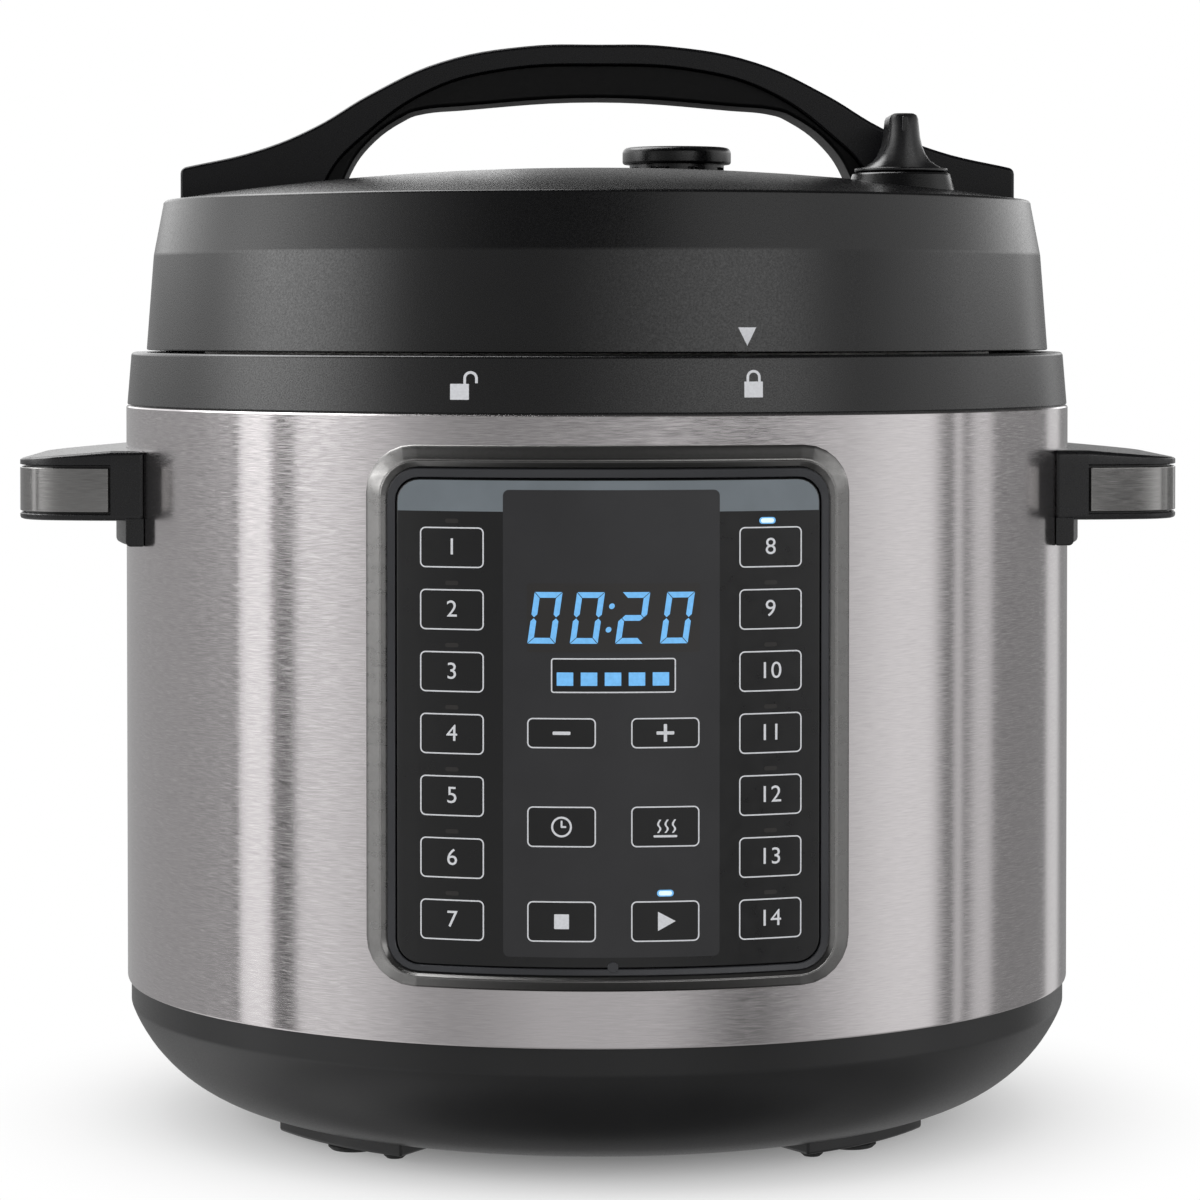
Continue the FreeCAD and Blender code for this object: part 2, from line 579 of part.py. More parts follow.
def power_inlet():
    """Socket with a flange on the sheet and a mouth with two clipped corners."""
    face_y, floor_y, root_y = BODY_R + INLET_PROUD, BODY_R - INLET_DEEP, BODY_R - 10
    flange = prism(rounded(INLET_FLANGE_W, INLET_FLANGE_H, 4.0, 0, INLET_Z), on_xz(root_y),
                   Vector(0, face_y - root_y, 0))
    flange = flange.cut(rod(BODY_R + SEAT_GAP, 0, CUT))
    case = prism(rounded(INLET_W, INLET_H, 2.0, 0, INLET_Z), on_xz(floor_y - 2),
                 Vector(0, face_y - floor_y, 0))
    low, high, side, clip = INLET_Z - 8.2, INLET_Z + 8.2, 12.2, 4.5
    mouth = [(-side, low), (side, low), (side, high - clip), (side - clip, high), (clip - side, high),
             (-side, high - clip)]
    socket = prism(mouth, on_xz(floor_y), Vector(0, 40, 0))
    return flange.fuse(case).cut(socket)


def inlet_pins():
    floor_y, length, half_w, half_h, pitch = BODY_R - INLET_DEEP, 15.5, 1.0, 2.0, 7.0
    places = ((-pitch, INLET_Z - 2.0), (0.0, INLET_Z + 2.0), (pitch, INLET_Z - 2.0))
    return [block(x - half_w, x + half_w, floor_y, floor_y + length, z - half_h, z + half_h)
            for x, z in places]


def collector_bracket():
    """Plate on the sheet with two tongues that the cup slides onto."""
    low, high, front = CUP_Z + 6, CUP_TOP_Z - 6, BODY_R + BRACKET_T
    half_w, tongue_half, tongue_l = 31.0, 1.5, 12.0
    plate = block(-half_w, half_w, BODY_R - 8, front, low, high).cut(rod(BODY_R + SEAT_GAP, 0, CUT))
    tongues = [block(s * TONGUE_X - tongue_half, s * TONGUE_X + tongue_half, front - 1, front + tongue_l,
                     low + 6, high - 6) for s in (-1, 1)]
    return plate.multiFuse(tongues)


def condensation_collector():
    """Cup with a back plate that is slotted for the bracket's tongues."""
    back, wall, depth, plate_w, plate_t, slot_half = BODY_R + 3.4, 1.6, 22.0, 68.0, 2.0, 2.0
    half, corner = 24.0, 9.0
    front = back + depth
    plate = prism(rounded(plate_w, CUP_TOP_Z - CUP_Z - 6, 4.0, 0, (CUP_Z + CUP_TOP_Z) / 2),
                  on_xz(back), Vector(0, plate_t, 0))
    slots = [block(s * TONGUE_X - slot_half, s * TONGUE_X + slot_half, back - 1, back + 5,
                   CUP_Z + 11, CUP_TOP_Z - 11) for s in (-1, 1)]

    def section(inset, top):
        u, low, r = half - inset, CUP_Z + inset, corner - inset
        f = corner_point(r)
        return [(u, top), (-u, top), (-u, low + r), [(-u + f, low + f), (-u + r, low)], (u - r, low),
                [(u - f, low + f), (u, low + r)]]

    cup = prism(section(0, CUP_TOP_Z), on_xz(back), Vector(0, front - back, 0))
    hollow = prism(section(wall, CUT), on_xz(back + wall + 1), Vector(0, depth - 2 * wall - 1, 0))
    return plate.fuse(cup).cut(Part.makeCompound(slots + [hollow]))


# Pot and seal

def inner_pot():
    outer, corner, rim_z = POT_R + POT_WALL, 12.0, POT_TOP_Z - 1.5
    bend_r, floor_z = outer - corner, POT_Z + POT_FLOOR
    inner = POT_R - bend_r
    half = math.sqrt(0.5)
    return lathe(
        (0, POT_Z), (bend_r, POT_Z),
        [(bend_r + corner * half, POT_Z + corner * (1 - half)), (outer, POT_Z + corner)],
        (outer, rim_z), (POT_RIM_R, rim_z), (POT_RIM_R, POT_TOP_Z), (POT_R, POT_TOP_Z),
        (POT_R, floor_z + inner),
        [(bend_r + inner * half, floor_z + inner * (1 - half)), (bend_r, floor_z)], (0, floor_z))


def sealing_ring():
    """Channel section with a lip that presses on the pot's rim."""
    low, lip_r, foot_r, outer, inner, web_r = POT_TOP_Z + 0.4, 108.8, 111.0, 116.0, 110.0, 113.4
    top = low + 8.0
    return lathe((lip_r, low + 0.8), (foot_r, low), (outer, low), (outer, top), (inner, top),
                 (inner, top - 1.6), (web_r, top - 2.2), (web_r, low + 3.0))


# Lid

def inner_lid_body():
    rim_top = INNER_LID_Z + INNER_LID_T
    wall, shoulder, mid, bend_z = 118.4, 108.0, 54.0, 232.0
    bend_mid, inner_bend_mid = (115.6, 237.6), (114.4, 236.4)
    inner, inner_shoulder = wall - INNER_LID_SHEET, shoulder - 0.6

    def over(radius):
        return cap_z(radius, INNER_LID_TOP_Z, INNER_LID_BALL)

    def under(radius):
        return cap_z(radius, INNER_LID_TOP_Z - INNER_LID_SHEET, INNER_LID_BALL - INNER_LID_SHEET)

    return lathe(
        (inner, INNER_LID_Z), (INNER_LID_R, INNER_LID_Z), (INNER_LID_R, rim_top), (wall, rim_top),
        (wall, bend_z), [bend_mid, (shoulder, over(shoulder))], [(mid, over(mid)), (0, over(0))],
        (0, under(0)), [(mid, under(mid)), (inner_shoulder, under(inner_shoulder))],
        [inner_bend_mid, (inner, bend_z - 0.4)])


def through(radius, centre):
    """Upright cutter right through the object."""
    return rod(radius, 0, CUT, *centre)


def inner_lid():
    """Pressed dome with lugs that turn under the locking ring's."""
    lugs = [sector(INNER_LID_R - 1, LID_LUG_R, INNER_LID_Z, INNER_LID_Z + INNER_LID_T,
                   i * 360 / LUG_COUNT, LUG_HALF_ANGLE) for i in range(LUG_COUNT)]
    holes = [through(PIPE_R + 0.1, VALVE_XY), through(FLOAT_HOLE_R, FLOAT_XY)]
    holes += [through(SCREW_SHANK_R + FIT_GAP, bolt) for bolt in lid_bolt_places()]
    return inner_lid_body().multiFuse(lugs).cut(Part.makeCompound(holes))


def lid_bolt_places():
    return [polar(LID_BOLT_R, a)[:2] for a in LID_BOLT_ANGLES]


def lid_bolts():
    low, head_z, tip_z = 236.8, 239.4, 252.0
    bolts = []
    for x, y in lid_bolt_places():
        bolts.append(rod(SCREW_HEAD_R, low, head_z, x, y).fuse(rod(SCREW_SHANK_R, head_z, tip_z, x, y)))
    return bolts


def lid_handle_screw_places():
    return [(sx * LID_SCREW_X, sy * LID_SCREW_Y) for sx in (-1, 1) for sy in (-1, 1)]


def lid_handle_screws():
    low, tip_z = LID_SCREW_SEAT_Z - 3.0, 282.5
    screws = []
    for x, y in lid_handle_screw_places():
        head = rod(SCREW_HEAD_R, low, LID_SCREW_SEAT_Z, x, y)
        screws.append(head.fuse(rod(SCREW_SHANK_R, LID_SCREW_SEAT_Z, tip_z, x, y)))
    return screws


def lid_shell():
    """Moulded lid with a crease round its wall, bosses for its screws and lugs for the lever."""
    inner_edge, mid, edge_mid = LID_DOME_EDGE_R - WALL, 65.0, (130.5, 273.9)
    bolt_boss, screw_boss, well_wall, lug_y, lug_half, lug_t = 5.0, 5.5, 1.6, 6.0, 4.0, 1.6

    def under(radius):
        return cap_z(radius, DOME_Z - WALL, DOME_R - WALL)

    shell = lathe(
        (LID_R, LID_Z), (LID_CREASE_R, LID_CREASE_Z), (LID_EDGE_R, LID_EDGE_Z),
        [edge_mid, (LID_DOME_EDGE_R, dome_z(LID_DOME_EDGE_R))], [(mid, dome_z(mid)), (0, DOME_Z)],
        (0, under(0)), [(mid, under(mid)), (inner_edge, under(inner_edge))],
        (LID_CREASE_R - WALL, LID_CREASE_Z), (LID_R - WALL - 0.1, LID_Z))
    bosses = [rod(bolt_boss, 241.0, 278.0, x, y).cut(inner_lid_body()) for x, y in lid_bolt_places()]
    bosses += [rod(screw_boss, LID_SCREW_SEAT_Z, 277.0, x, y) for x, y in lid_handle_screw_places()]
    well = ring(VALVE_HOLE_R, VALVE_HOLE_R + well_wall, 268.0, 282.0, *VALVE_XY)
    lugs = [lever_placed(block(-lug_half, lug_half, s * lug_y - lug_t, s * lug_y + lug_t, 259.0, 280.0))
            for s in (-1, 1)]
    holes = [rod(radius, 260.0, CUT, *place) for radius, place in
             ((VALVE_HOLE_R, VALVE_XY), (FLOAT_HOLE_R, FLOAT_XY), (DIAL_HOLE_R, DIAL_XY))]
    tools = holes + [lever_pin()] + lid_bolts() + lid_handle_screws()
    return shell.multiFuse(bosses + [well] + lugs).cut(Part.makeCompound(tools))


def lid_closing_ring():
    """Flat ring that closes the gap between the inner lid and the lid's wall."""
    inner, outer, low, top = 119.4, 132.7, 231.6, 233.2
    return lathe((inner, low), (outer, low), (outer, top), (inner, top))


def seal_rack():
    """Wire ring that holds the seal, on four posts under the inner lid."""
    radius, wire, z, post_top = 107.2, 1.2, 218.6, 238.4
    posts = [rod(wire - 0.3, z, post_top, *polar(radius, a)[:2]) for a in (45, 135, 225, 315)]
    return Part.makeTorus(radius, wire, Vector(0, 0, z)).multiFuse(posts)


def vent_pipe():
    """Pipe through the inner lid that the steam valve closes."""
    flange_r, flange_z, flange_top, low, top = 8.0, 243.0, 247.0, 238.0, 285.0
    pipe = rod(flange_r, flange_z, flange_top, *VALVE_XY).fuse(rod(PIPE_R, low, top, *VALVE_XY))
    return pipe.cut(inner_lid_sheet()).cut(through(PIPE_BORE_R, VALVE_XY))


def inner_lid_sheet():
    """The inner lid's dome with the pipe's own hole kept clear."""
    return inner_lid_body().cut(through(PIPE_R + 0.1, VALVE_XY))


def block_shield():
    """Slotted cup that keeps food out of the pipe."""
    radius, wall, low, top, slot_half, slot_z, slot_top, count = 10.0, 1.0, 232.5, 246.0, 1.2, 235.0, 239.0, 8
    cup = rod(radius, low, top, *VALVE_XY).cut(rod(radius - wall, low + wall, CUT, *VALVE_XY))
    slot = block(2, 2 * radius, -slot_half, slot_half, slot_z, slot_top)
    slots = [moved(turned(slot, i * 360 / count), *VALVE_XY) for i in range(count)]
    ball = INNER_LID_BALL - INNER_LID_SHEET
    above = Part.makeSphere(ball, Vector(0, 0, INNER_LID_TOP_Z - INNER_LID_BALL))
    return cup.cut(Part.makeCompound(slots)).common(above)


# Lid handle

ARCH_TOP = [(-101.6, 289.3), (-84.8, 296.2), (-68.1, 306.1), (-47.3, 315.6), (-21.7, 320.4), (0, 321.0),
            (21.7, 320.4), (47.3, 315.6), (68.1, 306.1), (84.8, 296.2), (101.6, 289.3),
            (ARCH_END_X, ARCH_END_Z)]
ARCH_UNDER = [(69.0, 293.2), (51.7, 306.1), (30.1, 312.4), (0, 315.0), (-30.1, 312.4), (-51.7, 306.1),
              (-69.0, 293.2), (-ARCH_FOOT_X, ARCH_FOOT_Z)]
GRIP_UNDER = [(64.6, 291.4), (51.8, 301.1), (30.0, 304.2), (0, 305.3), (-30.0, 304.2), (-51.8, 301.1),
              (-64.6, 291.4), (-GRIP_FOOT_X, ARCH_FOOT_Z)]


def handle_arch():
    """Arched handle with bevelled edges, seated on the lid's dome."""
    steps = [(-ARCH_END_X, ARCH_FOOT_Z), (-ARCH_END_X, ARCH_END_Z), ARCH_TOP, (ARCH_END_X, ARCH_FOOT_Z),
             (ARCH_FOOT_X, ARCH_FOOT_Z), ARCH_UNDER]
    blank = prism(steps, on_xz(-ARCH_HALF_Y), Vector(0, 2 * ARCH_HALF_Y, 0))
    crown_z = max(z for _, z in ARCH_UNDER) + 2
    blank = blank.makeChamfer(ARCH_UNDER_BEVEL, curves_of(blank, ARCH_FOOT_Z, crown_z))
    blank = blank.makeChamfer(ARCH_BEVEL, curves_of(blank, crown_z, CUT))
    return blank.cut(Part.makeCompound([dome_ball()] + lid_handle_screws()))


def handle_grip():
    """Soft insert that fills the underside of the arch."""
    foot, top = (ARCH_FOOT_X, ARCH_FOOT_Z), 318.0
    x, z = foot
    steps = [(-x, z), (-x, top), (x, top), foot, (GRIP_FOOT_X, z), GRIP_UNDER]
    inside = [(-x, z), ARCH_UNDER[::-1][1:] + [foot]]
    blank = prism(steps, on_xz(-GRIP_HALF_Y), Vector(0, 2 * GRIP_HALF_Y, 0))
    blank = blank.makeChamfer(GRIP_BEVEL, curves_of(blank, ARCH_FOOT_Z, top))
    blank = blank.common(prism(inside, on_xz(-CUT), Vector(0, 2 * CUT, 0)))
    return blank.cut(dome_ball())


# Steam release

def dial_base():
    """Cone that stands on the dome under the dial."""
    bore, foot_r, top_r, low = 6.2, 17.6, 14.2, 270.0
    cone = lathe((bore, low), (foot_r, low), (top_r, DIAL_BASE_Z), (bore, DIAL_BASE_Z))
    return moved(cone, *DIAL_XY).cut(dome_ball())


def release_dial():
    """Disc on a shaft with a head under the lid, and a fin that flares into the disc."""
    low, disc_r, top = DIAL_BASE_Z + FIT_GAP, 13.6, 298.6
    foot, reach, shaft_r, head_r, head_z, head_top = low + 1.0, 20.0, 5.0, 7.0, 266.2, 268.4
    disc = rod(disc_r, low, foot)
    shaft = rod(shaft_r, head_z, low + 0.5).fuse(rod(head_r, head_z, head_top))
    end_view = [(12.6, foot), [(6.6, foot + 3.0), (4.7, foot + 8.5)], (4.2, top - 1.2), (3.0, top),
                (-3.0, top), (-4.2, top - 1.2), (-4.7, foot + 8.5), [(-6.6, foot + 3.0), (-12.6, foot)]]
    side_view = [(-13.4, foot), (13.4, foot), (13.0, foot + 2.0), (10.6, top), (-12.6, top),
                 (-13.2, foot + 2.0)]
    fin = prism(end_view, on_xz(-reach), Vector(0, 2 * reach, 0))
    fin = fin.common(prism(side_view, on_yz(-reach), Vector(2 * reach, 0, 0)))
    fin = fin.common(rod(disc_r - 0.1, low, top))
    return moved(disc.multiFuse([shaft, fin]), *DIAL_XY)


def steam_valve_cap():
    """Cap over a skirt with eight windows, on a stem that the lever lifts by its flange."""
    low, top, cap_r, bevel, crown = 287.2, 292.5, 17.0, 0.8, 1.8
    skirt_r, skirt_in, skirt_z, floor_z, count = 14.8, 12.3, 278.6, 280.2, 8
    window_half, window_z, window_top = 3.2, 281.2, 286.2
    stem_r, bore_r, flange_r, flange_z, flange_top = 5.8, 4.7, 9.0, 265.6, 267.2
    cap = lathe((0, low), (cap_r - bevel, low), (cap_r, low + bevel), (cap_r, top - crown),
                [(cap_r - 0.5, top - 0.5), (cap_r - crown, top)], (0, top))
    window = block(8, 20, -window_half, window_half, window_z, window_top)
    windows = [turned(window, (i + 0.5) * 360 / count) for i in range(count)]
    skirt = ring(skirt_in, skirt_r, skirt_z, low).fuse(rod(skirt_r, skirt_z, floor_z))
    skirt = skirt.cut(Part.makeCompound(windows))
    stem = rod(stem_r, flange_z, low).fuse(rod(flange_r, flange_z, flange_top))
    return moved(cap.multiFuse([skirt, stem]).cut(rod(bore_r, 0, low - 0.7)), *VALVE_XY)


LEVER_REACH = 53.4
LEVER_MID = ((VALVE_XY[0] + DIAL_XY[0]) / 2, (VALVE_XY[1] + DIAL_XY[1]) / 2)
LEVER_TURN = math.degrees(math.atan2(VALVE_XY[1] - DIAL_XY[1], VALVE_XY[0] - DIAL_XY[0]))
LEVER_Z = 263.5
LEVER_PIN_R = 1.5
FLOAT_Z = 236.0


def lever_placed(shape):
    return moved(turned(shape, LEVER_TURN), *LEVER_MID)


def release_lever():
    """Rocker with a pad under the dial and an eye round the valve's stem."""
    half_t, half_w, boss_half, pad_r, eye_r, eye_bore = 1.5, 3.5, 4.0, 6.5, 10.0, 6.6
    low, high, length = LEVER_Z - half_t, LEVER_Z + half_t, 40.0
    bar = block(-LEVER_REACH, LEVER_REACH - 8, -half_w, half_w, low, high)
    pad = rod(pad_r, low, high, -LEVER_REACH, 0)
    eye = rod(eye_r, low, high, LEVER_REACH, 0)
    boss = block(-boss_half, boss_half, -half_w, half_w, LEVER_Z - half_w, LEVER_Z + half_w)
    pivot = Part.makeCylinder(LEVER_PIN_R + 0.1, length, Vector(0, -length / 2, LEVER_Z), Vector(0, 1, 0))
    hole = rod(eye_bore, low, high, LEVER_REACH, 0)
    return lever_placed(bar.multiFuse([pad, eye, boss]).cut(Part.makeCompound([pivot, hole])))


def lever_pin():
    length = 17.0
    pin = Part.makeCylinder(LEVER_PIN_R, length, Vector(0, -length / 2, LEVER_Z), Vector(0, 1, 0))
    return lever_placed(pin)


def float_pin():
    """Pin with a collar below the inner lid, level with the dome until pressure lifts it."""
    radius, collar_r, collar_z, top = 3.0, 6.0, 237.6, 281.4
    pin = lathe((0, FLOAT_Z), (collar_r, FLOAT_Z), (collar_r, collar_z), (radius, collar_z),
                (radius, top - 0.6), (radius - 0.6, top), (0, top))
    return moved(pin, *FLOAT_XY)


def float_seal():
    radius, bevel, low = 4.8, 0.6, FLOAT_Z - 3.2
    seal = lathe((0, low), (radius - bevel, low), (radius, low + bevel), (radius, FLOAT_Z), (0, FLOAT_Z))
    return moved(seal, *FLOAT_XY)


def main():
    os.makedirs("parts", exist_ok=True)
    save("base_shell", base_shell())
    save("foot_pads", *foot_pads())
    save("bottom_cover", bottom_cover())
    save("cover_screws", *cover_screws())
    save("steel_wrap", steel_wrap())
    save("upper_collar", upper_collar())
    save("locking_ring", locking_ring())
    save("liner", liner())
    save("heat_plate", heat_plate())
    save("heating_element", *heating_element())
    save("plate_brackets", *plate_brackets())
    save("temp_sensor", temp_sensor())
    save("pressure_switch", pressure_switch())
    save("thermal_fuse", thermal_fuse())
    save("panel_bezel", panel_bezel())
    save("panel_overlay", panel_overlay())
    save("control_board", control_board())
    save("display_module", display_module())
    save("power_board", power_board())
    save("board_pillars", *board_pillars())
    handle, trim = right_handle(), right_handle_trim()
    save("right_handle", handle)
    save("left_handle", mirrored(handle))
    save("right_handle_trim", trim)
    save("left_handle_trim", mirrored(trim))
    save("handle_screws", *handle_screws(0))
    save("power_inlet", power_inlet())
    save("inlet_pins", *inlet_pins())
    save("collector_bracket", collector_bracket())
    save("condensation_collector", condensation_collector())
    save("inner_pot", inner_pot())
    save("sealing_ring", sealing_ring())
    save("inner_lid", inner_lid())
    save("lid_bolts", *lid_bolts())
    save("lid_shell", lid_shell())
    save("lid_handle_screws", *lid_handle_screws())
    save("lid_closing_ring", lid_closing_ring())
    save("seal_rack", seal_rack())
    save("vent_pipe", vent_pipe())
    save("block_shield", block_shield())
    save("handle_arch", handle_arch())
    save("handle_grip", handle_grip())
    save("dial_base", dial_base())
    save("release_dial", release_dial())
    save("steam_valve_cap", steam_valve_cap())
    save("release_lever", release_lever())
    save("lever_pin", lever_pin())
    save("float_pin", float_pin())
    save("float_seal", float_seal())


main()
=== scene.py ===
"""Finished multi-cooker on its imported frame: smooth shells, printed panel, materials and a studio stage."""

import json
import math

import bmesh
import bpy
from bpy.props import FloatProperty, FloatVectorProperty, IntProperty, PointerProperty
from mathutils import Matrix, Vector

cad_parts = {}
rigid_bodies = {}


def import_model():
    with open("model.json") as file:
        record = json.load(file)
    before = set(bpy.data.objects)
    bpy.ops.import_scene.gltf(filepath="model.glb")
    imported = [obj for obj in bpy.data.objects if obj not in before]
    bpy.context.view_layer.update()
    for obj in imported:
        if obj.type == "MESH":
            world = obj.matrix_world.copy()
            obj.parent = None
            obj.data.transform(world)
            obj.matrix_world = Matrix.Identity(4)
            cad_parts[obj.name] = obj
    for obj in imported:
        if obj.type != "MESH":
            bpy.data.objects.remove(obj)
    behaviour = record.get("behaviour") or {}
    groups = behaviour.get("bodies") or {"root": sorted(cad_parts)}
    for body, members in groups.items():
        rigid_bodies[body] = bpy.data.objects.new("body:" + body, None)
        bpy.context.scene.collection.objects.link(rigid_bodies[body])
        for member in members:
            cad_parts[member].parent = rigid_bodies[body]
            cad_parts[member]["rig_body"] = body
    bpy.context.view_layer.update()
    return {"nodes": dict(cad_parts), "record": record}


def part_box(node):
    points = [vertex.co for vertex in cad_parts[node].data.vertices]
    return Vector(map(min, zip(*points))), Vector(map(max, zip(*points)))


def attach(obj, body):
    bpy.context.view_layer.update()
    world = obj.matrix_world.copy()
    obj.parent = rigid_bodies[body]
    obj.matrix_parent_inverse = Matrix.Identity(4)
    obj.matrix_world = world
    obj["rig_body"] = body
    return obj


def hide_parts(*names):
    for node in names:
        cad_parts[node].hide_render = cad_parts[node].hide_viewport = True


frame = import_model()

bl_info = {
    "name": "Multi-cooker",
    "version": (1, 0, 0),
    "blender": (4, 5, 0),
    "location": "View3D > Sidebar > Cooker",
    "description": "Builds the finished multi-cooker on its packed frame",
    "category": "Object",
}

# Meshes are drawn in millimetres, Z up, front at -Y, and become metres when a piece is finished.
MM = 0.001
SLOT_OF = {part["node"]: part["material_slot"] for part in frame["record"]["subparts"]}
SHARP = math.radians(32)
SAME_POINT = 0.0005
WHITE = (1.0, 1.0, 1.0, 1.0)


def node_box(node):
    """Lowest and highest corner of a CAD node in millimetres."""
    return tuple(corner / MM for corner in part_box(node))


def plan_middle(low, high):
    """Middle of a box seen from above."""
    return (low.x + high.x) / 2, (low.y + high.y) / 2


# Places read from the frame
WRAP_LOW, WRAP_HIGH = node_box("steel_wrap")
BASE_LOW, BASE_HIGH = node_box("base_shell")
COVER_LOW, COVER_HIGH = node_box("bottom_cover")
COLLAR_LOW, COLLAR_HIGH = node_box("upper_collar")
LID_LOW, LID_HIGH = node_box("lid_shell")
BEZEL_LOW, BEZEL_HIGH = node_box("panel_bezel")
FILM_LOW, FILM_HIGH = node_box("panel_overlay")
GRIP_LOW, GRIP_HIGH = node_box("right_handle")
TRIM_LOW, TRIM_HIGH = node_box("right_handle_trim")
ARCH_HIGH, INSERT_HIGH = node_box("handle_arch")[1], node_box("handle_grip")[1]
DIAL_LOW, DIAL_HIGH = node_box("release_dial")
DIAL_BASE_LOW, DIAL_BASE_HIGH = node_box("dial_base")
CAP_LOW, CAP_HIGH = node_box("steam_valve_cap")
POT_LOW, POT_HIGH = node_box("inner_pot")
INLET_LOW, INLET_HIGH = node_box("power_inlet")

BODY_R = WRAP_HIGH.x
COLLAR_Z = WRAP_HIGH.z + 0.4
DOME_R = 850.0
DIAL_XY = plan_middle(DIAL_LOW, DIAL_HIGH)
VALVE_XY = plan_middle(CAP_LOW, CAP_HIGH)
FLOAT_XY = plan_middle(*node_box("float_pin"))
FOOT_ANGLES = (47, 133, 227, 313)


# Settings

def length(name, description, millimetres):
    return FloatProperty(name=name, description=description, default=millimetres * MM, unit="LENGTH",
                         precision=5)


def lean(name, description, degrees):
    return FloatProperty(name=name, description=description, default=math.radians(degrees), subtype="ANGLE")


def power(name, description, watts):
    return FloatProperty(name=name, description=description, default=watts, unit="POWER")


def colour(name, description, red, green, blue):
    return FloatVectorProperty(name=name, description=description, default=(red, green, blue, 1.0),
                               size=4, subtype="COLOR", min=0.0, max=1.0)


class CookerSizes(bpy.types.PropertyGroup):
    spin_steps: IntProperty(name="Spin steps", description="Faces round the large shells", default=144)
    small_steps: IntProperty(name="Small spin steps", description="Faces round the small parts", default=64)
    arch_round: length("Arch rounding", "Upper edge radius of the lid handle", 1.1)
    insert_round: length("Grip rounding", "Lower edge radius of the grip insert", 1.3)
    seam_round: length("Seam rounding", "Edge radius where the lid handle and its grip insert meet", 0.5)
    trim_round: length("Trim rounding", "Edge radius of the steel handle bands", 0.35)
    key_width: length("Key width", "Width of a programme key", 17.3)
    key_height: length("Key height", "Height of a programme key", 11.0)
    wide_key_width: length("Middle key width", "Width of a middle key", 18.5)
    low_key_height: length("Time key height", "Height of the minus and plus keys", 8.2)
    key_corner: length("Key corner", "Corner radius of the key outlines", 1.5)
    line_width: length("Line width", "Width of the printed outlines", 0.36)
    sign_height: length("Sign height", "Height of the numbers on the keys", 4.6)
    ink_step: length("Ink step", "Height of each printed layer over the one below", 0.02)
    digit_height: length("Digit height", "Height of the lit digits", 13.9)
    digit_width: length("Digit width", "Width of the lit digits", 7.5)
    digit_stroke: length("Digit stroke", "Width of a lit segment", 1.55)
    digit_slant: lean("Digit slant", "Lean of the lit digits", 8.2)


class CookerColours(bpy.types.PropertyGroup):
    base_black: colour("Base", "Moulded base", 0.011, 0.011, 0.0115)
    collar_black: colour("Collar", "Moulded collar", 0.004, 0.004, 0.0044)
    lid_black: colour("Lid", "Moulded lid", 0.003, 0.003, 0.0034)
    handle_black: colour("Handles", "Side handles", 0.005, 0.005, 0.0058)
    arch_black: colour("Lid handle", "Arched lid handle", 0.0028, 0.0028, 0.0036)
    grip_black: colour("Grip insert", "Insert under the lid handle", 0.0012, 0.0012, 0.0014)
    steel: colour("Body steel", "Brushed body sheet", 0.60, 0.572, 0.578)
    trim: colour("Trim steel", "Brushed handle bands", 0.31, 0.305, 0.30)
    vessel: colour("Vessel steel", "Pot, liner and inner lid", 0.62, 0.61, 0.59)
    aluminium: colour("Aluminium", "Cast heating plate", 0.58, 0.58, 0.59)
    rubber: colour("Rubber", "Foot pads", 0.012, 0.012, 0.012)
    silicone: colour("Silicone", "Sealing ring", 0.62, 0.61, 0.57)
    bezel_metal: colour("Bezel band", "Gunmetal band round the control panel", 0.25, 0.246, 0.242)
    bezel_lining: colour("Bezel lining", "Slope between the bezel and the film", 0.030, 0.031, 0.035)
    film_black: colour("Film", "Panel film beside the display", 0.004, 0.004, 0.0045)
    field_grey: colour("Display field", "Lighter field behind the display", 0.021, 0.021, 0.023)
    window_brown: colour("Display window", "Tinted window over the digits", 0.020, 0.018, 0.017)
    header_grey: colour("Header band", "Grey band at the top of the film", 0.155, 0.18, 0.20)
    ink_white: colour("White print", "Signs and outlines", 0.70, 0.71, 0.74)
    light_blue: colour("Display light", "Lit segments", 0.16, 0.47, 0.86)
    lamp_white: colour("Indicator light", "Lit key lamps", 0.72, 0.90, 1.0)
    board_green: colour("Circuit board", "Solder mask", 0.01, 0.11, 0.035)
    brass: colour("Brass", "Inlet pins", 0.62, 0.44, 0.17)
    cup_smoke: colour("Condensate cup", "Clear smoked plastic", 0.55, 0.57, 0.60)
    floor: colour("Floor", "Studio floor", 0.93, 0.93, 0.93)


class CookerStage(bpy.types.PropertyGroup):
    eye_distance: length("Eye distance", "Camera to the body's axis", 1241.3)
    eye_height: length("Eye height", "Camera over the worktop", 239.0)
    eye_turn: lean("Eye turn", "Camera's angle left of the front", 1.36)
    eye_tilt: lean("Eye tilt", "Camera's angle below level", 1.42)
    lens: FloatProperty(name="Lens", description="Focal length on the camera's sensor", default=122.64,
                        unit="CAMERA")
    frame_drop: FloatProperty(name="Frame drop", description="How far the frame lies below the axis",
                              default=0.1501, subtype="FACTOR")
    frame_right: FloatProperty(name="Frame right", description="How far the frame lies right of the axis",
                               default=0.0025, subtype="FACTOR")
    fill: FloatProperty(name="Fill", description="Light of the surround on matt surfaces", default=0.42,
                        min=0.0)
    left_power: power("Left light", "Power of the left softbox", 11.0)
    right_power: power("Right light", "Power of the right softbox", 5.0)
    top_power: power("Top light", "Power of the top softbox", 13.0)


def sizes():
    return bpy.context.scene.cooker_sizes


def colours():
    return bpy.context.scene.cooker_colours


def stage():
    return bpy.context.scene.cooker_stage


# Mesh tools

def new_object(name, data):
    """Object at the origin of the scene."""
    obj = bpy.data.objects.new(name, data)
    bpy.context.scene.collection.objects.link(obj)
    return obj


def mesh_of(bm, name):
    """Mesh with the shape of a bmesh, which is used up."""
    mesh = bpy.data.meshes.new(name)
    bm.to_mesh(mesh)
    bm.free()
    return mesh


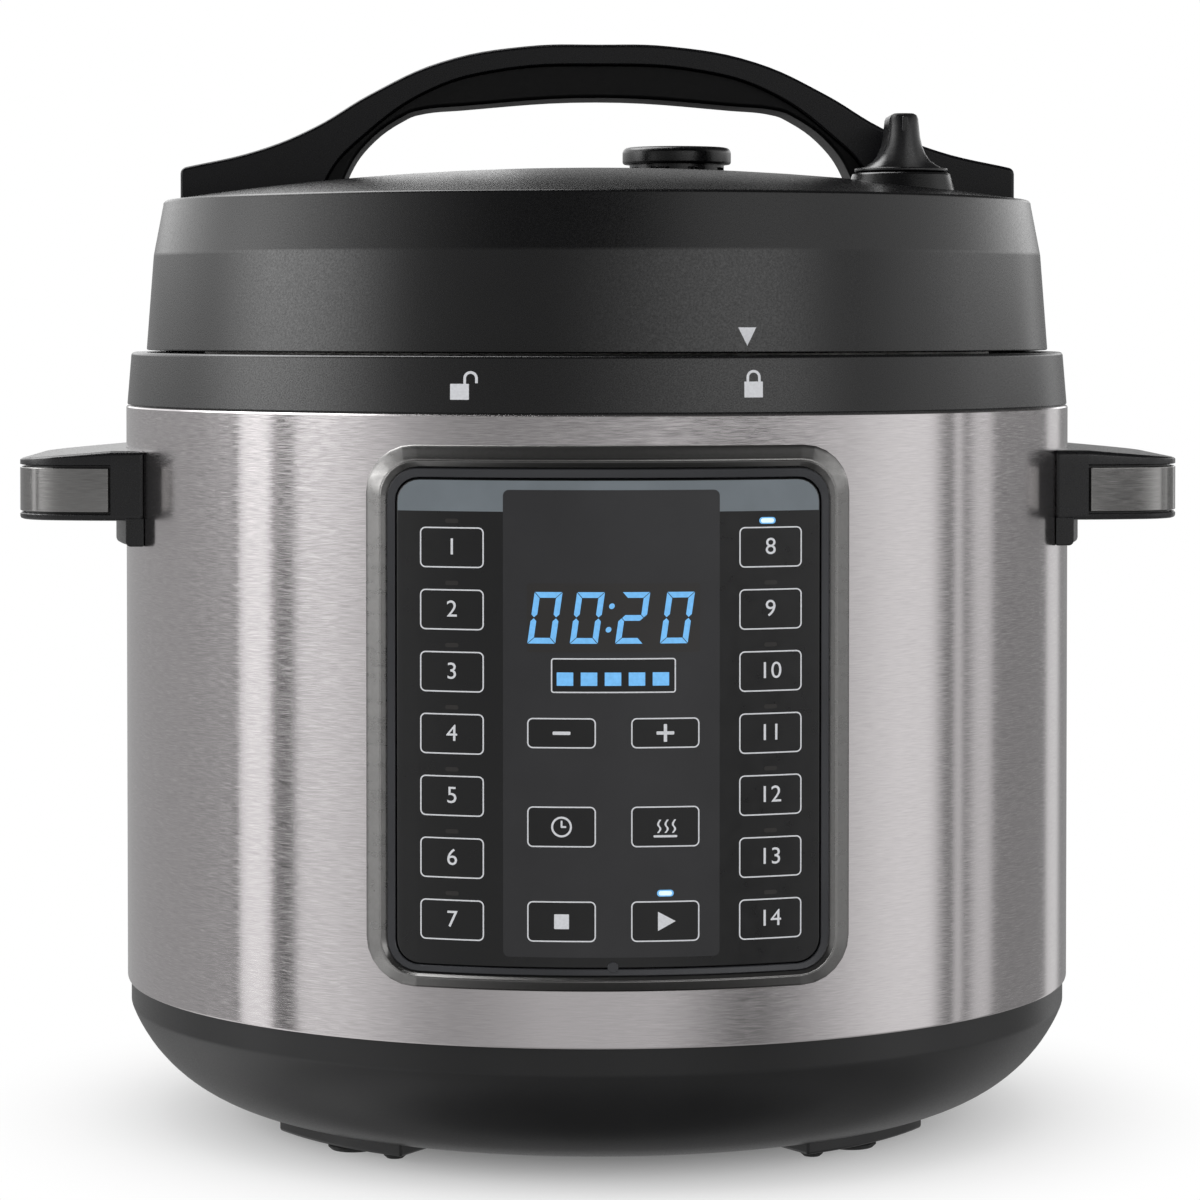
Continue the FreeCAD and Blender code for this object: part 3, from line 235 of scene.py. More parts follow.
def chain(bm, points, closed):
    """Vertices and edges through the points."""
    verts = [bm.verts.new(point) for point in points]
    ends = verts[1:] + verts[:1] if closed else verts[1:]
    return verts, [bm.edges.new(pair) for pair in zip(verts, ends)]


def bevel(bm, geom, radius, segments, affect="EDGES", clamp=True):
    bmesh.ops.bevel(bm, geom=geom, offset=radius, offset_type="OFFSET", segments=segments, profile=0.5,
                    affect=affect, clamp_overlap=clamp, material=-1)


def soften(bm, radius, segments=3):
    """Round every edge that turns sharply."""
    bm.normal_update()
    edges = [e for e in bm.edges if len(e.link_faces) == 2 and e.calc_face_angle(0.0) > SHARP]
    bevel(bm, edges, radius, segments)


def swing(bm, degrees, axis):
    """Turn a shape about an axis through the origin."""
    rotation = Matrix.Rotation(math.radians(degrees), 3, axis)
    bmesh.ops.rotate(bm, cent=(0, 0, 0), matrix=rotation, verts=bm.verts)


def push(bm, extrusion, along):
    """Move the new points of an extrusion."""
    verts = [part for part in extrusion["geom"] if isinstance(part, bmesh.types.BMVert)]
    bmesh.ops.translate(bm, vec=along, verts=verts)


def cut(bm, point, normal, **options):
    """Cut every face along a plane."""
    bmesh.ops.bisect_plane(bm, geom=bm.verts[:] + bm.edges[:] + bm.faces[:], plane_co=point,
                           plane_no=normal, **options)


def close_up(bm):
    """Merge doubled points and turn all faces outwards."""
    bmesh.ops.remove_doubles(bm, verts=bm.verts, dist=SAME_POINT)
    bmesh.ops.recalc_face_normals(bm, faces=bm.faces)
    return bm


def arc(start, through, end, count):
    """Points after start on the circle through three points, the last one included."""
    (ax, ay), (bx, by), (cx, cy) = start, through, end
    twice = 2 * (ax * (by - cy) + bx * (cy - ay) + cx * (ay - by))
    a, b, c = ax * ax + ay * ay, bx * bx + by * by, cx * cx + cy * cy
    mid = ((a * (by - cy) + b * (cy - ay) + c * (ay - by)) / twice,
           (a * (cx - bx) + b * (ax - cx) + c * (bx - ax)) / twice)
    radius = math.dist(start, mid)
    first, last = (math.atan2(p[1] - mid[1], p[0] - mid[0]) for p in (start, end))
    turn = math.remainder(last - first, math.tau)
    angles = [first + turn * (i + 1) / count for i in range(count)]
    return [(mid[0] + radius * math.cos(t), mid[1] + radius * math.sin(t)) for t in angles]


def lathe(profile, centre=(0.0, 0.0), steps=0, closed=True):
    """Spin (radius, height) points about an upright axis. A third value rounds that corner."""
    bm = bmesh.new()
    verts, _ = chain(bm, [(centre[0] + p[0], centre[1], p[1]) for p in profile], closed)
    for vert, point in zip(verts, profile):
        if len(point) > 2:
            bevel(bm, [vert], point[2], 4, affect="VERTICES")
    bmesh.ops.spin(bm, geom=bm.verts[:] + bm.edges[:], cent=(*centre, 0.0), axis=(0.0, 0.0, 1.0),
                   angle=math.tau, steps=steps or sizes().spin_steps, use_merge=True)
    return close_up(bm)


def sector(inner, outer, low, high, middle, half, steps=10):
    """Block between two radii and two angles, measured from the front towards +X."""
    bm = bmesh.new()
    verts = [bm.verts.new((r, 0.0, z)) for r, z in ((inner, low), (outer, low), (outer, high), (inner, high))]
    face = bm.faces.new(verts)
    swing(bm, middle - half - 90, "Z")
    bmesh.ops.spin(bm, geom=[face] + face.edges[:] + verts, cent=(0, 0, 0), axis=(0, 0, 1),
                   angle=math.radians(2 * half), steps=steps)
    return close_up(bm)


def plate(points, corners=None, place=lambda u, v: (u, 0.0, v)):
    """One flat face through the points, with the corner radii that are given by index."""
    bm = bmesh.new()
    verts = [bm.verts.new(place(*point)) for point in points]
    bm.faces.new(verts)
    for index, radius in (corners or {}).items():
        bevel(bm, [verts[index]], radius, 6, affect="VERTICES")
    return bm


def rounded_plate(width, height, corner, x=0.0, z=0.0):
    """Upright rectangle with four round corners about (x, z)."""
    u, v = width / 2, height / 2
    points = [(x + u, z - v), (x + u, z + v), (x - u, z + v), (x - u, z - v)]
    return plate(points, {i: corner for i in range(4)})


def flat_ring(x, z, inner, outer, sweep, steps):
    """Upright ring about (x, z), or the part of it that starts on the right and sweeps upwards."""
    bm = bmesh.new()
    ends = [bm.verts.new((x + radius, 0.0, z)) for radius in (inner, outer)]
    edge = bm.edges.new(ends)
    bmesh.ops.spin(bm, geom=ends + [edge], cent=(x, 0.0, z), axis=(0, -1, 0), angle=sweep, steps=steps,
                   use_merge=sweep == math.tau)
    return bm


def edge_of(bm):
    """Points round the one face of a plate, which is used up."""
    bm.faces.ensure_lookup_table()
    points = [vert.co.copy() for vert in bm.faces[0].verts]
    bm.free()
    return points


def loft(loops, ends=True):
    """Skin over closed loops that have the same number of points."""
    bm = bmesh.new()
    rings = [chain(bm, loop, True) for loop in loops]
    for (_, below), (_, above) in zip(rings, rings[1:]):
        bmesh.ops.bridge_loops(bm, edges=below + above)
    if ends:
        bm.faces.new(rings[0][0])
        bm.faces.new(rings[-1][0])
    return close_up(bm)


def thick(bm, along):
    """Push a flat plate into a solid."""
    push(bm, bmesh.ops.extrude_face_region(bm, geom=bm.faces[:]), along)
    return close_up(bm)


def smooth_path(points, resolution=6):
    """Points on a smooth curve through the given ones."""
    curve = bpy.data.curves.new("path", "CURVE")
    curve.resolution_u = resolution
    spline = curve.splines.new("BEZIER")
    spline.bezier_points.add(len(points) - 1)
    for knot, (u, v) in zip(spline.bezier_points, points):
        knot.co = (u, v, 0.0)
        knot.handle_left_type = knot.handle_right_type = "AUTO"
    holder = new_object("path", curve)
    bpy.context.view_layer.update()
    mesh = bpy.data.meshes.new_from_object(holder)
    path = [(vert.co.x, vert.co.y) for vert in mesh.vertices]
    bpy.data.objects.remove(holder)
    bpy.data.curves.remove(curve)
    bpy.data.meshes.remove(mesh)
    return path


def joined(*parts):
    """All the parts in the first one's mesh."""
    whole = parts[0]
    for part in parts[1:]:
        mesh = mesh_of(part, "part")
        whole.from_mesh(mesh)
        bpy.data.meshes.remove(mesh)
    return whole


def wrap(bm, radius_at, pitch=4.0):
    """Bend a front view round the body. Its height over the body is drawn along -Y."""
    reach = int(max(abs(vert.co.x) for vert in bm.verts) / pitch) + 1
    for step in range(-reach, reach + 1):
        cut(bm, (step * pitch, 0.0, 0.0), (1.0, 0.0, 0.0), dist=SAME_POINT)
    for vert in bm.verts:
        radius = radius_at(vert.co.z) - vert.co.y
        vert.co.y = -math.sqrt(radius ** 2 - vert.co.x ** 2)
    return bm


def lifted(bm, height):
    """Move a front view towards the viewer."""
    bmesh.ops.translate(bm, vec=(0.0, -height, 0.0), verts=bm.verts)
    return bm


def turned_side(bm, side):
    """Turn what is modelled on the right to the given side."""
    if side < 0:
        bmesh.ops.scale(bm, vec=(-1.0, 1.0, 1.0), verts=bm.verts)
    return close_up(bm)


def cut_holes(bm, holes):
    """Drill upright holes, given as (x, y, radius)."""
    reach, steps = 400.0, 48
    bits = []
    for x, y, radius in holes:
        bits.append(lathe(((0.0, 0.0), (radius, 0.0), (radius, reach), (0.0, reach)), (x, y), steps))
    target = new_object("drilled", mesh_of(bm, "drilled"))
    tool = new_object("bits", mesh_of(joined(*bits), "bits"))
    drill = target.modifiers.new("drill", "BOOLEAN")
    drill.object, drill.operation, drill.solver = tool, "DIFFERENCE", "EXACT"
    graph = bpy.context.evaluated_depsgraph_get()
    result = bpy.data.meshes.new_from_object(target.evaluated_get(graph))
    drilled = bmesh.new()
    drilled.from_mesh(result)
    for obj in (target, tool):
        bpy.data.objects.remove(obj)
    return drilled


def opened(bm, is_open, thickness):
    """Take the faces that pass a test out of a thin wall, and give the rest a thickness."""
    doomed = [face for face in bm.faces if is_open(face.calc_center_median())]
    bmesh.ops.delete(bm, geom=doomed, context="FACES")
    bmesh.ops.recalc_face_normals(bm, faces=bm.faces)
    bmesh.ops.solidify(bm, geom=bm.faces[:], thickness=thickness)
    return bm


# Finished pieces

def piece(bm, name, node, slot="", replaces=()):
    """Object in metres that rides with a CAD node and stands for the nodes named."""
    bmesh.ops.scale(bm, vec=(MM, MM, MM), verts=bm.verts)
    mesh = mesh_of(bm, name)
    mesh.shade_smooth()
    mesh.set_sharp_from_angle(angle=SHARP)
    obj = new_object(name, mesh)
    obj.modifiers.new("even_shading", "WEIGHTED_NORMAL").keep_sharp = True
    record_slot = slot if slot in SLOT_OF.values() else SLOT_OF[node]
    mesh.materials.append(finish(slot or record_slot))
    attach(obj, frame["nodes"][node]["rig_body"])
    if replaces:
        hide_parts(*replaces)
    return obj


def shell(bm, node, slot=""):
    """Piece that takes the place of one CAD node."""
    return piece(bm, node + "_shell", node, slot, replaces=(node,))


def polished(node, radius=0.0):
    """Smooth copy of a CAD node, with its sharp edges rounded where a radius is given."""
    bm = bmesh.new()
    bm.from_mesh(frame["nodes"][node].data)
    bmesh.ops.scale(bm, vec=(1 / MM, 1 / MM, 1 / MM), verts=bm.verts)
    seam, flat = 0.002, math.radians(0.5)
    bmesh.ops.remove_doubles(bm, verts=bm.verts, dist=seam)
    if radius:
        bmesh.ops.dissolve_limit(bm, angle_limit=flat, verts=bm.verts, edges=bm.edges)
        soften(bm, radius)
    return piece(bm, node + "_finish", node, replaces=(node,))


# Materials

# A noise stays mostly between these two values.
NOISE_LOW, NOISE_HIGH = 0.3, 0.7


def new_material(name, sockets):
    """Material with one shader and values for its sockets."""
    material = bpy.data.materials.new(name)
    material.use_nodes = True
    shader = material.node_tree.nodes["Principled BSDF"]
    for socket, value in sockets.items():
        shader.inputs[socket].default_value = value
    return material, material.node_tree, shader


def add_node(tree, kind, inputs, **settings):
    """Node with its settings and inputs, which are values or other nodes' sockets."""
    node = tree.nodes.new("ShaderNode" + kind)
    for setting, value in settings.items():
        setattr(node, setting, value)
    for socket, value in inputs.items():
        if isinstance(value, bpy.types.NodeSocket):
            tree.links.new(value, node.inputs[socket])
        else:
            node.inputs[socket].default_value = value
    return node


def place(tree, stretch=(1.0, 1.0, 1.0)):
    """Object coordinates, stretched along the axes."""
    coords = add_node(tree, "TexCoord", {}).outputs["Object"]
    return add_node(tree, "Mapping", {"Vector": coords, "Scale": stretch}).outputs["Vector"]


def turned_place(tree):
    """Radius and height as coordinates, so that a pattern runs round the axis as on turned metal."""
    split = add_node(tree, "SeparateXYZ", {"Vector": place(tree)}).outputs
    flat = add_node(tree, "CombineXYZ", {"X": split["X"], "Y": split["Y"]}).outputs["Vector"]
    radius = add_node(tree, "VectorMath", {0: flat}, operation="LENGTH").outputs["Value"]
    return add_node(tree, "CombineXYZ", {"X": radius, "Z": split["Z"]}).outputs["Vector"]


def noise(tree, vector, scale, detail=2.0):
    return add_node(tree, "TexNoise", {"Vector": vector, "Scale": scale, "Detail": detail}).outputs["Fac"]


def spread(tree, factor, low, high):
    """The middle of a noise stretched between two values."""
    return add_node(tree, "MapRange", {"Value": factor, "From Min": NOISE_LOW, "From Max": NOISE_HIGH,
                                       "To Min": low, "To Max": high}).outputs["Result"]


def shades(tree, factor, base, change):
    """Colour that runs from darker to lighter than the base."""
    ramp = add_node(tree, "ValToRGB", {"Fac": factor})
    stops = ((NOISE_LOW, 1 - change), (NOISE_HIGH, 1 + change))
    for element, (position, share) in zip(ramp.color_ramp.elements, stops):
        element.position = position
        element.color = (*(min(1.0, c * share) for c in base[:3]), 1.0)
    return ramp.outputs["Color"]


def bump(tree, shader, height, depth, strength=1.0):
    """Surface relief of a depth in millimetres."""
    relief = add_node(tree, "Bump", {"Height": height, "Distance": depth * MM, "Strength": strength})
    tree.links.new(relief.outputs["Normal"], shader.inputs["Normal"])


def dress(look, base, change, tone, skin, rough, relief=()):
    """Colour from one pattern, and roughness and relief from another. Gives the material."""
    material, tree, shader = look
    tree.links.new(shades(tree, tone, base, change), shader.inputs["Base Color"])
    tree.links.new(spread(tree, skin, *rough), shader.inputs["Roughness"])
    if relief:
        bump(tree, shader, skin, *relief)
    return material


def moulded_plastic(name, base, roughness, grain=2600.0, depth=0.03, ior=1.5):
    """Black moulding with a fine eroded grain and a faint change of tone."""
    look = new_material(name, {"IOR": ior})
    spot = place(look[1])
    cloud, fine = noise(look[1], spot, 35.0, 4.0), noise(look[1], spot, grain, 3.0)
    return dress(look, base, 0.16, cloud, fine, (roughness - 0.06, roughness + 0.06), (depth, 0.6))


def brushed_steel(name, base, stretch, roughness, anisotropy):
    """Sheet with long fine scratches along the brushing."""
    look = new_material(name, {"Metallic": 1.0, "Anisotropic": anisotropy, "Anisotropic Rotation": 0.25})
    _, tree, shader = look
    band_stretch, band_share = tuple(share * 0.13 for share in stretch), 0.06
    lines = noise(tree, place(tree, stretch), 1.0, 5.0)
    bands = noise(tree, place(tree, band_stretch), 1.0, 3.0)
    streaks = add_node(tree, "Mix", {0: band_share, 2: lines, 3: bands}).outputs[0]
    if anisotropy:
        around = add_node(tree, "Tangent", {}, direction_type="RADIAL", axis="Z")
        tree.links.new(around.outputs["Tangent"], shader.inputs["Tangent"])
    return dress(look, base, 0.11, streaks, lines, (roughness - 0.04, roughness + 0.06), (0.001, 0.4))


def turned_metal(name, base, roughness, scale):
    """Metal with fine rings round the axis."""
    look = new_material(name, {"Metallic": 1.0})
    rings = noise(look[1], turned_place(look[1]), scale, 4.0)
    return dress(look, base, 0.08, rings, rings, (roughness - 0.06, roughness + 0.08), (0.01, 0.5))


def cast_metal(name, base, roughness, change=0.14, depth=0.05):
    """Cast plate with a sandy skin under its turned rings."""
    look = new_material(name, {"Metallic": 1.0})
    _, tree, shader = look
    sand = noise(tree, place(tree), 900.0, 6.0)
    rings = noise(tree, turned_place(tree), 420.0, 3.0)
    bump(tree, shader, sand, depth, 0.5)
    return dress(look, base, change, sand, rings, (roughness - 0.08, roughness + 0.1))


def soft_rubber(name, base, roughness, weight):
    """Rubber or silicone with a dull mottled skin."""
    look = new_material(name, {"Subsurface Weight": weight, "Subsurface Scale": 0.002})
    skin = noise(look[1], place(look[1]), 700.0, 5.0)
    return dress(look, base, 0.10, skin, skin, (roughness - 0.08, roughness + 0.08), (0.03, 0.5))


def printed_film(name, base, roughness):
    """Hard-coated film with a faint orange-peel skin."""
    look = new_material(name, {"IOR": 1.5})
    cloud, peel = noise(look[1], place(look[1]), 60.0, 4.0), noise(look[1], place(look[1]), 260.0, 3.0)
    return dress(look, base, 0.10, cloud, peel, (roughness - 0.03, roughness + 0.05), (0.01, 0.3))


def printed_ink(name, base):
    """Screen-printed ink with a slightly uneven cover."""
    material, tree, shader = new_material(name, {"Roughness": 0.5})
    cover = noise(tree, place(tree), 1500.0, 3.0)
    tree.links.new(shades(tree, cover, base, 0.06), shader.inputs["Base Color"])
    return material


def lit_window(name, base, glow):
    """Lit segment that is brighter in its middle grain."""
    material, tree, shader = new_material(name, {"Roughness": 0.4, "Base Color": (0.01, 0.02, 0.03, 1.0),
                                                 "Emission Strength": glow})
    grain = noise(tree, place(tree), 900.0, 2.0)
    tree.links.new(shades(tree, grain, base, 0.08), shader.inputs["Emission Color"])
    return material


def circuit_board(name, base):
    """Solder mask with darker tracks under it."""
    material, tree, shader = new_material(name, {"Roughness": 0.35})
    tracks = add_node(tree, "TexVoronoi", {"Vector": place(tree), "Scale": 160.0}, distance="CHEBYCHEV")
    tree.links.new(shades(tree, tracks.outputs["Distance"], base, 0.45), shader.inputs["Base Color"])
    bump(tree, shader, tracks.outputs["Distance"], 0.05, 0.4)
    return material


def clear_smoke(name, base):
    """Clear smoked moulding with a slightly wavy skin."""
    look = new_material(name, {"Transmission Weight": 0.85, "IOR": 1.49})
    waves = noise(look[1], place(look[1]), 120.0, 2.0)
    return dress(look, base, 0.05, waves, waves, (0.10, 0.2), (0.02, 0.3))


# Stretch of the brushing's noise, so that its scratches run round the body.
ALONG_BODY = (230.0, 230.0, 6000.0)
FINISHES = {
    "base_plastic": lambda n: moulded_plastic(n, colours().base_black, 0.34, ior=1.44),
    "collar_plastic": lambda n: moulded_plastic(n, colours().collar_black, 0.27),
    "lid_plastic": lambda n: moulded_plastic(n, colours().lid_black, 0.26, 1700.0, 0.024),
    "handle_plastic": lambda n: moulded_plastic(n, colours().handle_black, 0.30, 2000.0, 0.012),
    "arch_plastic": lambda n: moulded_plastic(n, colours().arch_black, 0.30, 2000.0, 0.012, ior=1.36),
    "grip_plastic": lambda n: moulded_plastic(n, colours().grip_black, 0.46, ior=1.3),
    "bezel_metal": lambda n: cast_metal(n, colours().bezel_metal, 0.3, 0.04, 0.006),
    "bezel_lining": lambda n: moulded_plastic(n, colours().bezel_lining, 0.34, 2400.0, 0.015),
    "body_steel": lambda n: brushed_steel(n, colours().steel, ALONG_BODY, 0.15, 0.75),
    "trim_steel": lambda n: brushed_steel(n, colours().trim, ALONG_BODY, 0.18, 0.0),
    "vessel_steel": lambda n: turned_metal(n, colours().vessel, 0.26, 900.0),
    "screw_steel": lambda n: turned_metal(n, colours().vessel, 0.34, 500.0),
    "plate_aluminium": lambda n: cast_metal(n, colours().aluminium, 0.42),
    "pin_brass": lambda n: cast_metal(n, colours().brass, 0.3),
    "pad_rubber": lambda n: soft_rubber(n, colours().rubber, 0.7, 0.0),
    "silicone": lambda n: soft_rubber(n, colours().silicone, 0.5, 0.2),
    "overlay_film": lambda n: printed_film(n, colours().film_black, 0.3),
    "display_black": lambda n: printed_film(n, colours().film_black, 0.2),
    "key_film": lambda n: printed_film(n, colours().film_black, 0.34),
    "window_film": lambda n: printed_film(n, colours().window_brown, 0.32),
    "field_film": lambda n: printed_film(n, colours().field_grey, 0.34),
    "header_film": lambda n: printed_film(n, colours().header_grey, 0.4),
    "white_ink": lambda n: printed_ink(n, colours().ink_white),
    "segment_light": lambda n: lit_window(n, colours().light_blue, 1.0),
    "lamp_light": lambda n: lit_window(n, colours().lamp_white, 1.1),
    "board_green": lambda n: circuit_board(n, colours().board_green),
    "cup_plastic": lambda n: clear_smoke(n, colours().cup_smoke),
}


def finish(name):
    """The material of that finish, made when it is first asked for."""
    full_name = name + "_finish"
    return bpy.data.materials.get(full_name) or FINISHES[name](full_name)


# Base, body and collar

class BaseOperator(bpy.types.Operator):
    """Base bowl with its foot platforms, pads, bottom cover and screws"""
    bl_idname = "cooker.base"
    bl_label = "Base"

    def execute(self, context):
        floor_r, bowl_r, wall = 107.0, BASE_HIGH.x - 0.3, 3.0
        floor_z, crease_z, top_z = COVER_LOW.z, 33.5, BASE_HIGH.z
        inner_z, ledge_r, cover_r = floor_z + wall, 78.0, COVER_HIGH.x + 0.3
        lip_z, bend_z = floor_z + 1.6, crease_z + 1.0
        bulge, inner_bulge = (130.8, 18.5), (128.4, 20.6)
        platform_r, platform_half, platform_round = 87.0, 14.5, 0.9
        profile = [(ledge_r, lip_z), (cover_r, lip_z), (cover_r, floor_z, 0.4), (floor_r, floor_z)]
        profile += arc((floor_r, floor_z), bulge, (bowl_r, crease_z), 18)
        profile += [(BASE_HIGH.x, crease_z + 1.2), (BASE_HIGH.x, top_z), (BASE_HIGH.x - wall, top_z)]
        profile += [(BASE_HIGH.x - wall, bend_z)]
        profile += arc((BASE_HIGH.x - wall, bend_z), inner_bulge, (floor_r, inner_z), 12)
        profile += [(ledge_r, inner_z)]
        bowl = lathe(profile)
        platforms = [sector(platform_r, floor_r, BASE_LOW.z, inner_z - 1, angle, platform_half)
                     for angle in FOOT_ANGLES]
        for platform in platforms:
            soften(platform, platform_round)
        shell(joined(bowl, *platforms), "base_shell")
        for node in ("foot_pads", "bottom_cover", "cover_screws"):
            polished(node)
        return {"FINISHED"}


class BodyWrapOperator(bpy.types.Operator):
    """Brushed sheet round the body, open behind the panel and the power inlet"""
    bl_idname = "cooker.body_wrap"
    bl_label = "Body wrap"

    def execute(self, context):
        openings = ((25.0, 0.0, BEZEL_LOW.z + 6.0, BEZEL_HIGH.z - 6.0),
                    (7.5, 180.0, INLET_LOW.z + 4.0, INLET_HIGH.z - 4.0))
        low, high, sheet = WRAP_LOW.z, WRAP_HIGH.z, 0.8
        heights = sorted({z for _, _, *span in openings for z in span})
        rolled = [(BODY_R - 0.5, low), (BODY_R - 0.15, low + 0.2), (BODY_R, low + 0.7)]
        profile = rolled + [(BODY_R, z) for z in heights] + [(BODY_R, high - 0.4), (BODY_R - 0.3, high)]
        bm = lathe(profile, closed=False)

        def is_open(spot):
            angle = math.degrees(math.atan2(spot.x, -spot.y))
            return any(abs(math.remainder(angle - middle, 360.0)) < half and bottom < spot.z < top
                       for half, middle, bottom, top in openings)

        shell(opened(bm, is_open, sheet), "steel_wrap")
        return {"FINISHED"}


COLLAR_STEP, COLLAR_DRAFT = 0.3, 1.3
LID_DRAFT, LID_WALL = 2.2, 28.4


def collar_radius(z):
    """Radius of the collar's leaning wall at a height."""
    return BODY_R - COLLAR_STEP - (z - COLLAR_Z) * COLLAR_DRAFT / (COLLAR_HIGH.z - COLLAR_Z)


def lid_radius(z):
    """Radius of the lid's leaning lower wall at a height."""
    return LID_HIGH.x - (z - LID_LOW.z) * LID_DRAFT / LID_WALL


def padlock(x, z, is_open):
    """Padlock sign: a square body under a half-ring shackle with two legs."""
    width, height, radius, stroke = 5.1, 4.3, 1.95, 0.72
    shift, rise = (3.0, 1.5) if is_open else (0.0, 1.2)
    short_leg, overlap = 1.3, 0.1
    top = z + height / 2
    hoop_x, hoop_z = x + shift, top + rise
    parts = [rounded_plate(width, height, 0.15, x, z)]
    parts.append(flat_ring(hoop_x, hoop_z, radius - stroke, radius, math.pi, 16))
    for side in (-1, 1):
        foot = hoop_z - short_leg if is_open and side > 0 else top - overlap
        leg_x = hoop_x + side * (radius - stroke / 2)
        parts.append(rounded_plate(stroke, hoop_z - foot, 0.02, leg_x, (hoop_z + foot) / 2))
    return joined(*parts)


class CollarOperator(bpy.types.Operator):
    """Collar above the wrap with the printed padlock signs"""
    bl_idname = "cooker.collar"
    bl_label = "Collar"

    def execute(self, context):
        seat_r, spigot_r, bore_r = 122.0, BODY_R - 1.3, 132.0
        seat_z, ring_z, top = COLLAR_LOW.z, COLLAR_LOW.z + 2.5, COLLAR_HIGH.z
        bm = lathe([(seat_r, seat_z), (spigot_r, seat_z), (spigot_r, COLLAR_Z),
                    (BODY_R - COLLAR_STEP, COLLAR_Z, 0.35), (collar_radius(top), top, 0.9),
                    (bore_r, top, 0.6), (bore_r, ring_z), (seat_r, ring_z)])
        shell(bm, "upper_collar")
        sign_x, sign_z, lift = 39.2, 219.8, sizes().ink_step / MM
        signs = joined(padlock(sign_x, sign_z, False), padlock(-sign_x - 1.2, sign_z - 0.6, True))
        piece(wrap(lifted(signs, lift), collar_radius), "collar_signs", "upper_collar", "white_ink")
        return {"FINISHED"}


# Control panel

def body_radius(z):
    return BODY_R


FILM_TOP, FILM_GAP, FILM_SLACK, FILM_CORNER = 1.6, 8.15, 0.4, 6.2
BEZEL_CORNER, CORNER_SHRINK = 13.0, 0.8


def panel_ring(inset_side, inset_low, inset_high, corner, height):
    """Rounded outline inside the bezel's own, at a height over the body."""
    left, right = BEZEL_LOW.x + inset_side, BEZEL_HIGH.x - inset_side
    low, high = BEZEL_LOW.z + inset_low, BEZEL_HIGH.z - inset_high
    return edge_of(lifted(rounded_plate(right - left, high - low, corner, 0.0, (low + high) / 2), height))


class PanelOperator(bpy.types.Operator):
    """Curved bezel and the film set into it"""
    bl_idname = "cooker.panel"
    bl_label = "Control panel"

    def execute(self, context):
        band = ((0.0, 0.05), (0.0, 0.5), (0.3, 0.85), (0.8, 1.05), (3.3, 2.3), (3.6, 2.42), (3.8, 2.4),
                (3.8, 0.06))
        rim = ((3.82, 0.05), (3.82, 2.45), (4.0, 2.54), (4.2, 2.5), (5.6, 1.35), (5.8, 1.25), (5.8, 0.06))
        lining = ((5.82, 0.05), (5.82, 1.7), (6.05, 1.88), (7.75, 1.72), (8.0, 1.55), (FILM_GAP, 0.9),
                  (FILM_GAP, 0.06))
        shell(wrap(self.frame_ring(rim), body_radius), "panel_bezel", "bezel_metal")
        piece(wrap(self.frame_ring(band), body_radius), "bezel_band", "panel_bezel", "bezel_metal")
        slope = joined(self.frame_ring(lining), self.catch())
        piece(wrap(slope, body_radius), "bezel_lining", "panel_bezel", "bezel_lining")
        film = [self.outline(FILM_GAP + FILM_SLACK + inset, FILM_CORNER - inset, height) for inset, height in
                ((-0.3, 0.9), (0.0, 1.1), (0.0, 1.5), (0.12, FILM_TOP - 0.01), (0.3, FILM_TOP))]
        shell(wrap(loft(film), body_radius), "panel_overlay")
        return {"FINISHED"}

    def outline(self, inset, corner, height):
        """Outline between the bezel's edge and the film's, at a height over the body."""
        low_share = (FILM_LOW.z - BEZEL_LOW.z - FILM_SLACK) / FILM_GAP
        high_share = (BEZEL_HIGH.z - FILM_HIGH.z - FILM_SLACK) / FILM_GAP
        return panel_ring(inset, inset * low_share, inset * high_share, corner, height)

    def frame_ring(self, section):
        """Closed ring round the panel with a section of (inset, height) points."""
        loops = [self.outline(inset, BEZEL_CORNER - inset * CORNER_SHRINK, height)
                 for inset, height in section]
        return loft(loops + loops[:1], ends=False)

    def catch(self):
        """Small half-round catch in the middle of the film's lower edge."""
        width, corner, x, height, deep = 3.0, 1.48, 0.9, 1.95, 0.9
        bm = lifted(rounded_plate(width, width, corner, x, FILM_LOW.z), height)
        thick(bm, (0.0, deep, 0.0))
        soften(bm, 0.2)
        return bm


FONT_SIZE_PER_HEIGHT = 1.38
KEY_COLUMNS, KEY_TOP_Z, KEY_PITCH, KEY_ROWS = (-42.5, 43.8), 177.2, 16.82, 7
MIDDLE_COLUMNS, MIDDLE_ROWS = (-12.95, 15.05), (127.4, 102.1, 76.5)
DISPLAY_X, DISPLAY_Z, DISPLAY_SIZE = 1.1, 158.5, (46.7, 18.6)
DIGIT_X, COLON_X = (-17.4, -6.0, 6.2, 18.3), 0.15
STATUS_X, STATUS_Z, STATUS_SIZE, STATUS_CORNER = 1.05, 142.95, (33.7, 9.4), 0.8


def key_outline(x, z, width, height, corner=0.0):
    """Printed line round a key."""
    bm = rounded_plate(width, height, corner or sizes().key_corner / MM, x, z)
    inset = bmesh.ops.inset_individual(bm, faces=bm.faces[:], thickness=sizes().line_width / MM,
                                       use_even_offset=True)
    rim = set(inset["faces"])
    bmesh.ops.delete(bm, geom=[face for face in bm.faces if face not in rim], context="FACES")
    return bm


def bar(x, z, width, height, corner=0.2):
    return rounded_plate(width, height, corner, x, z)


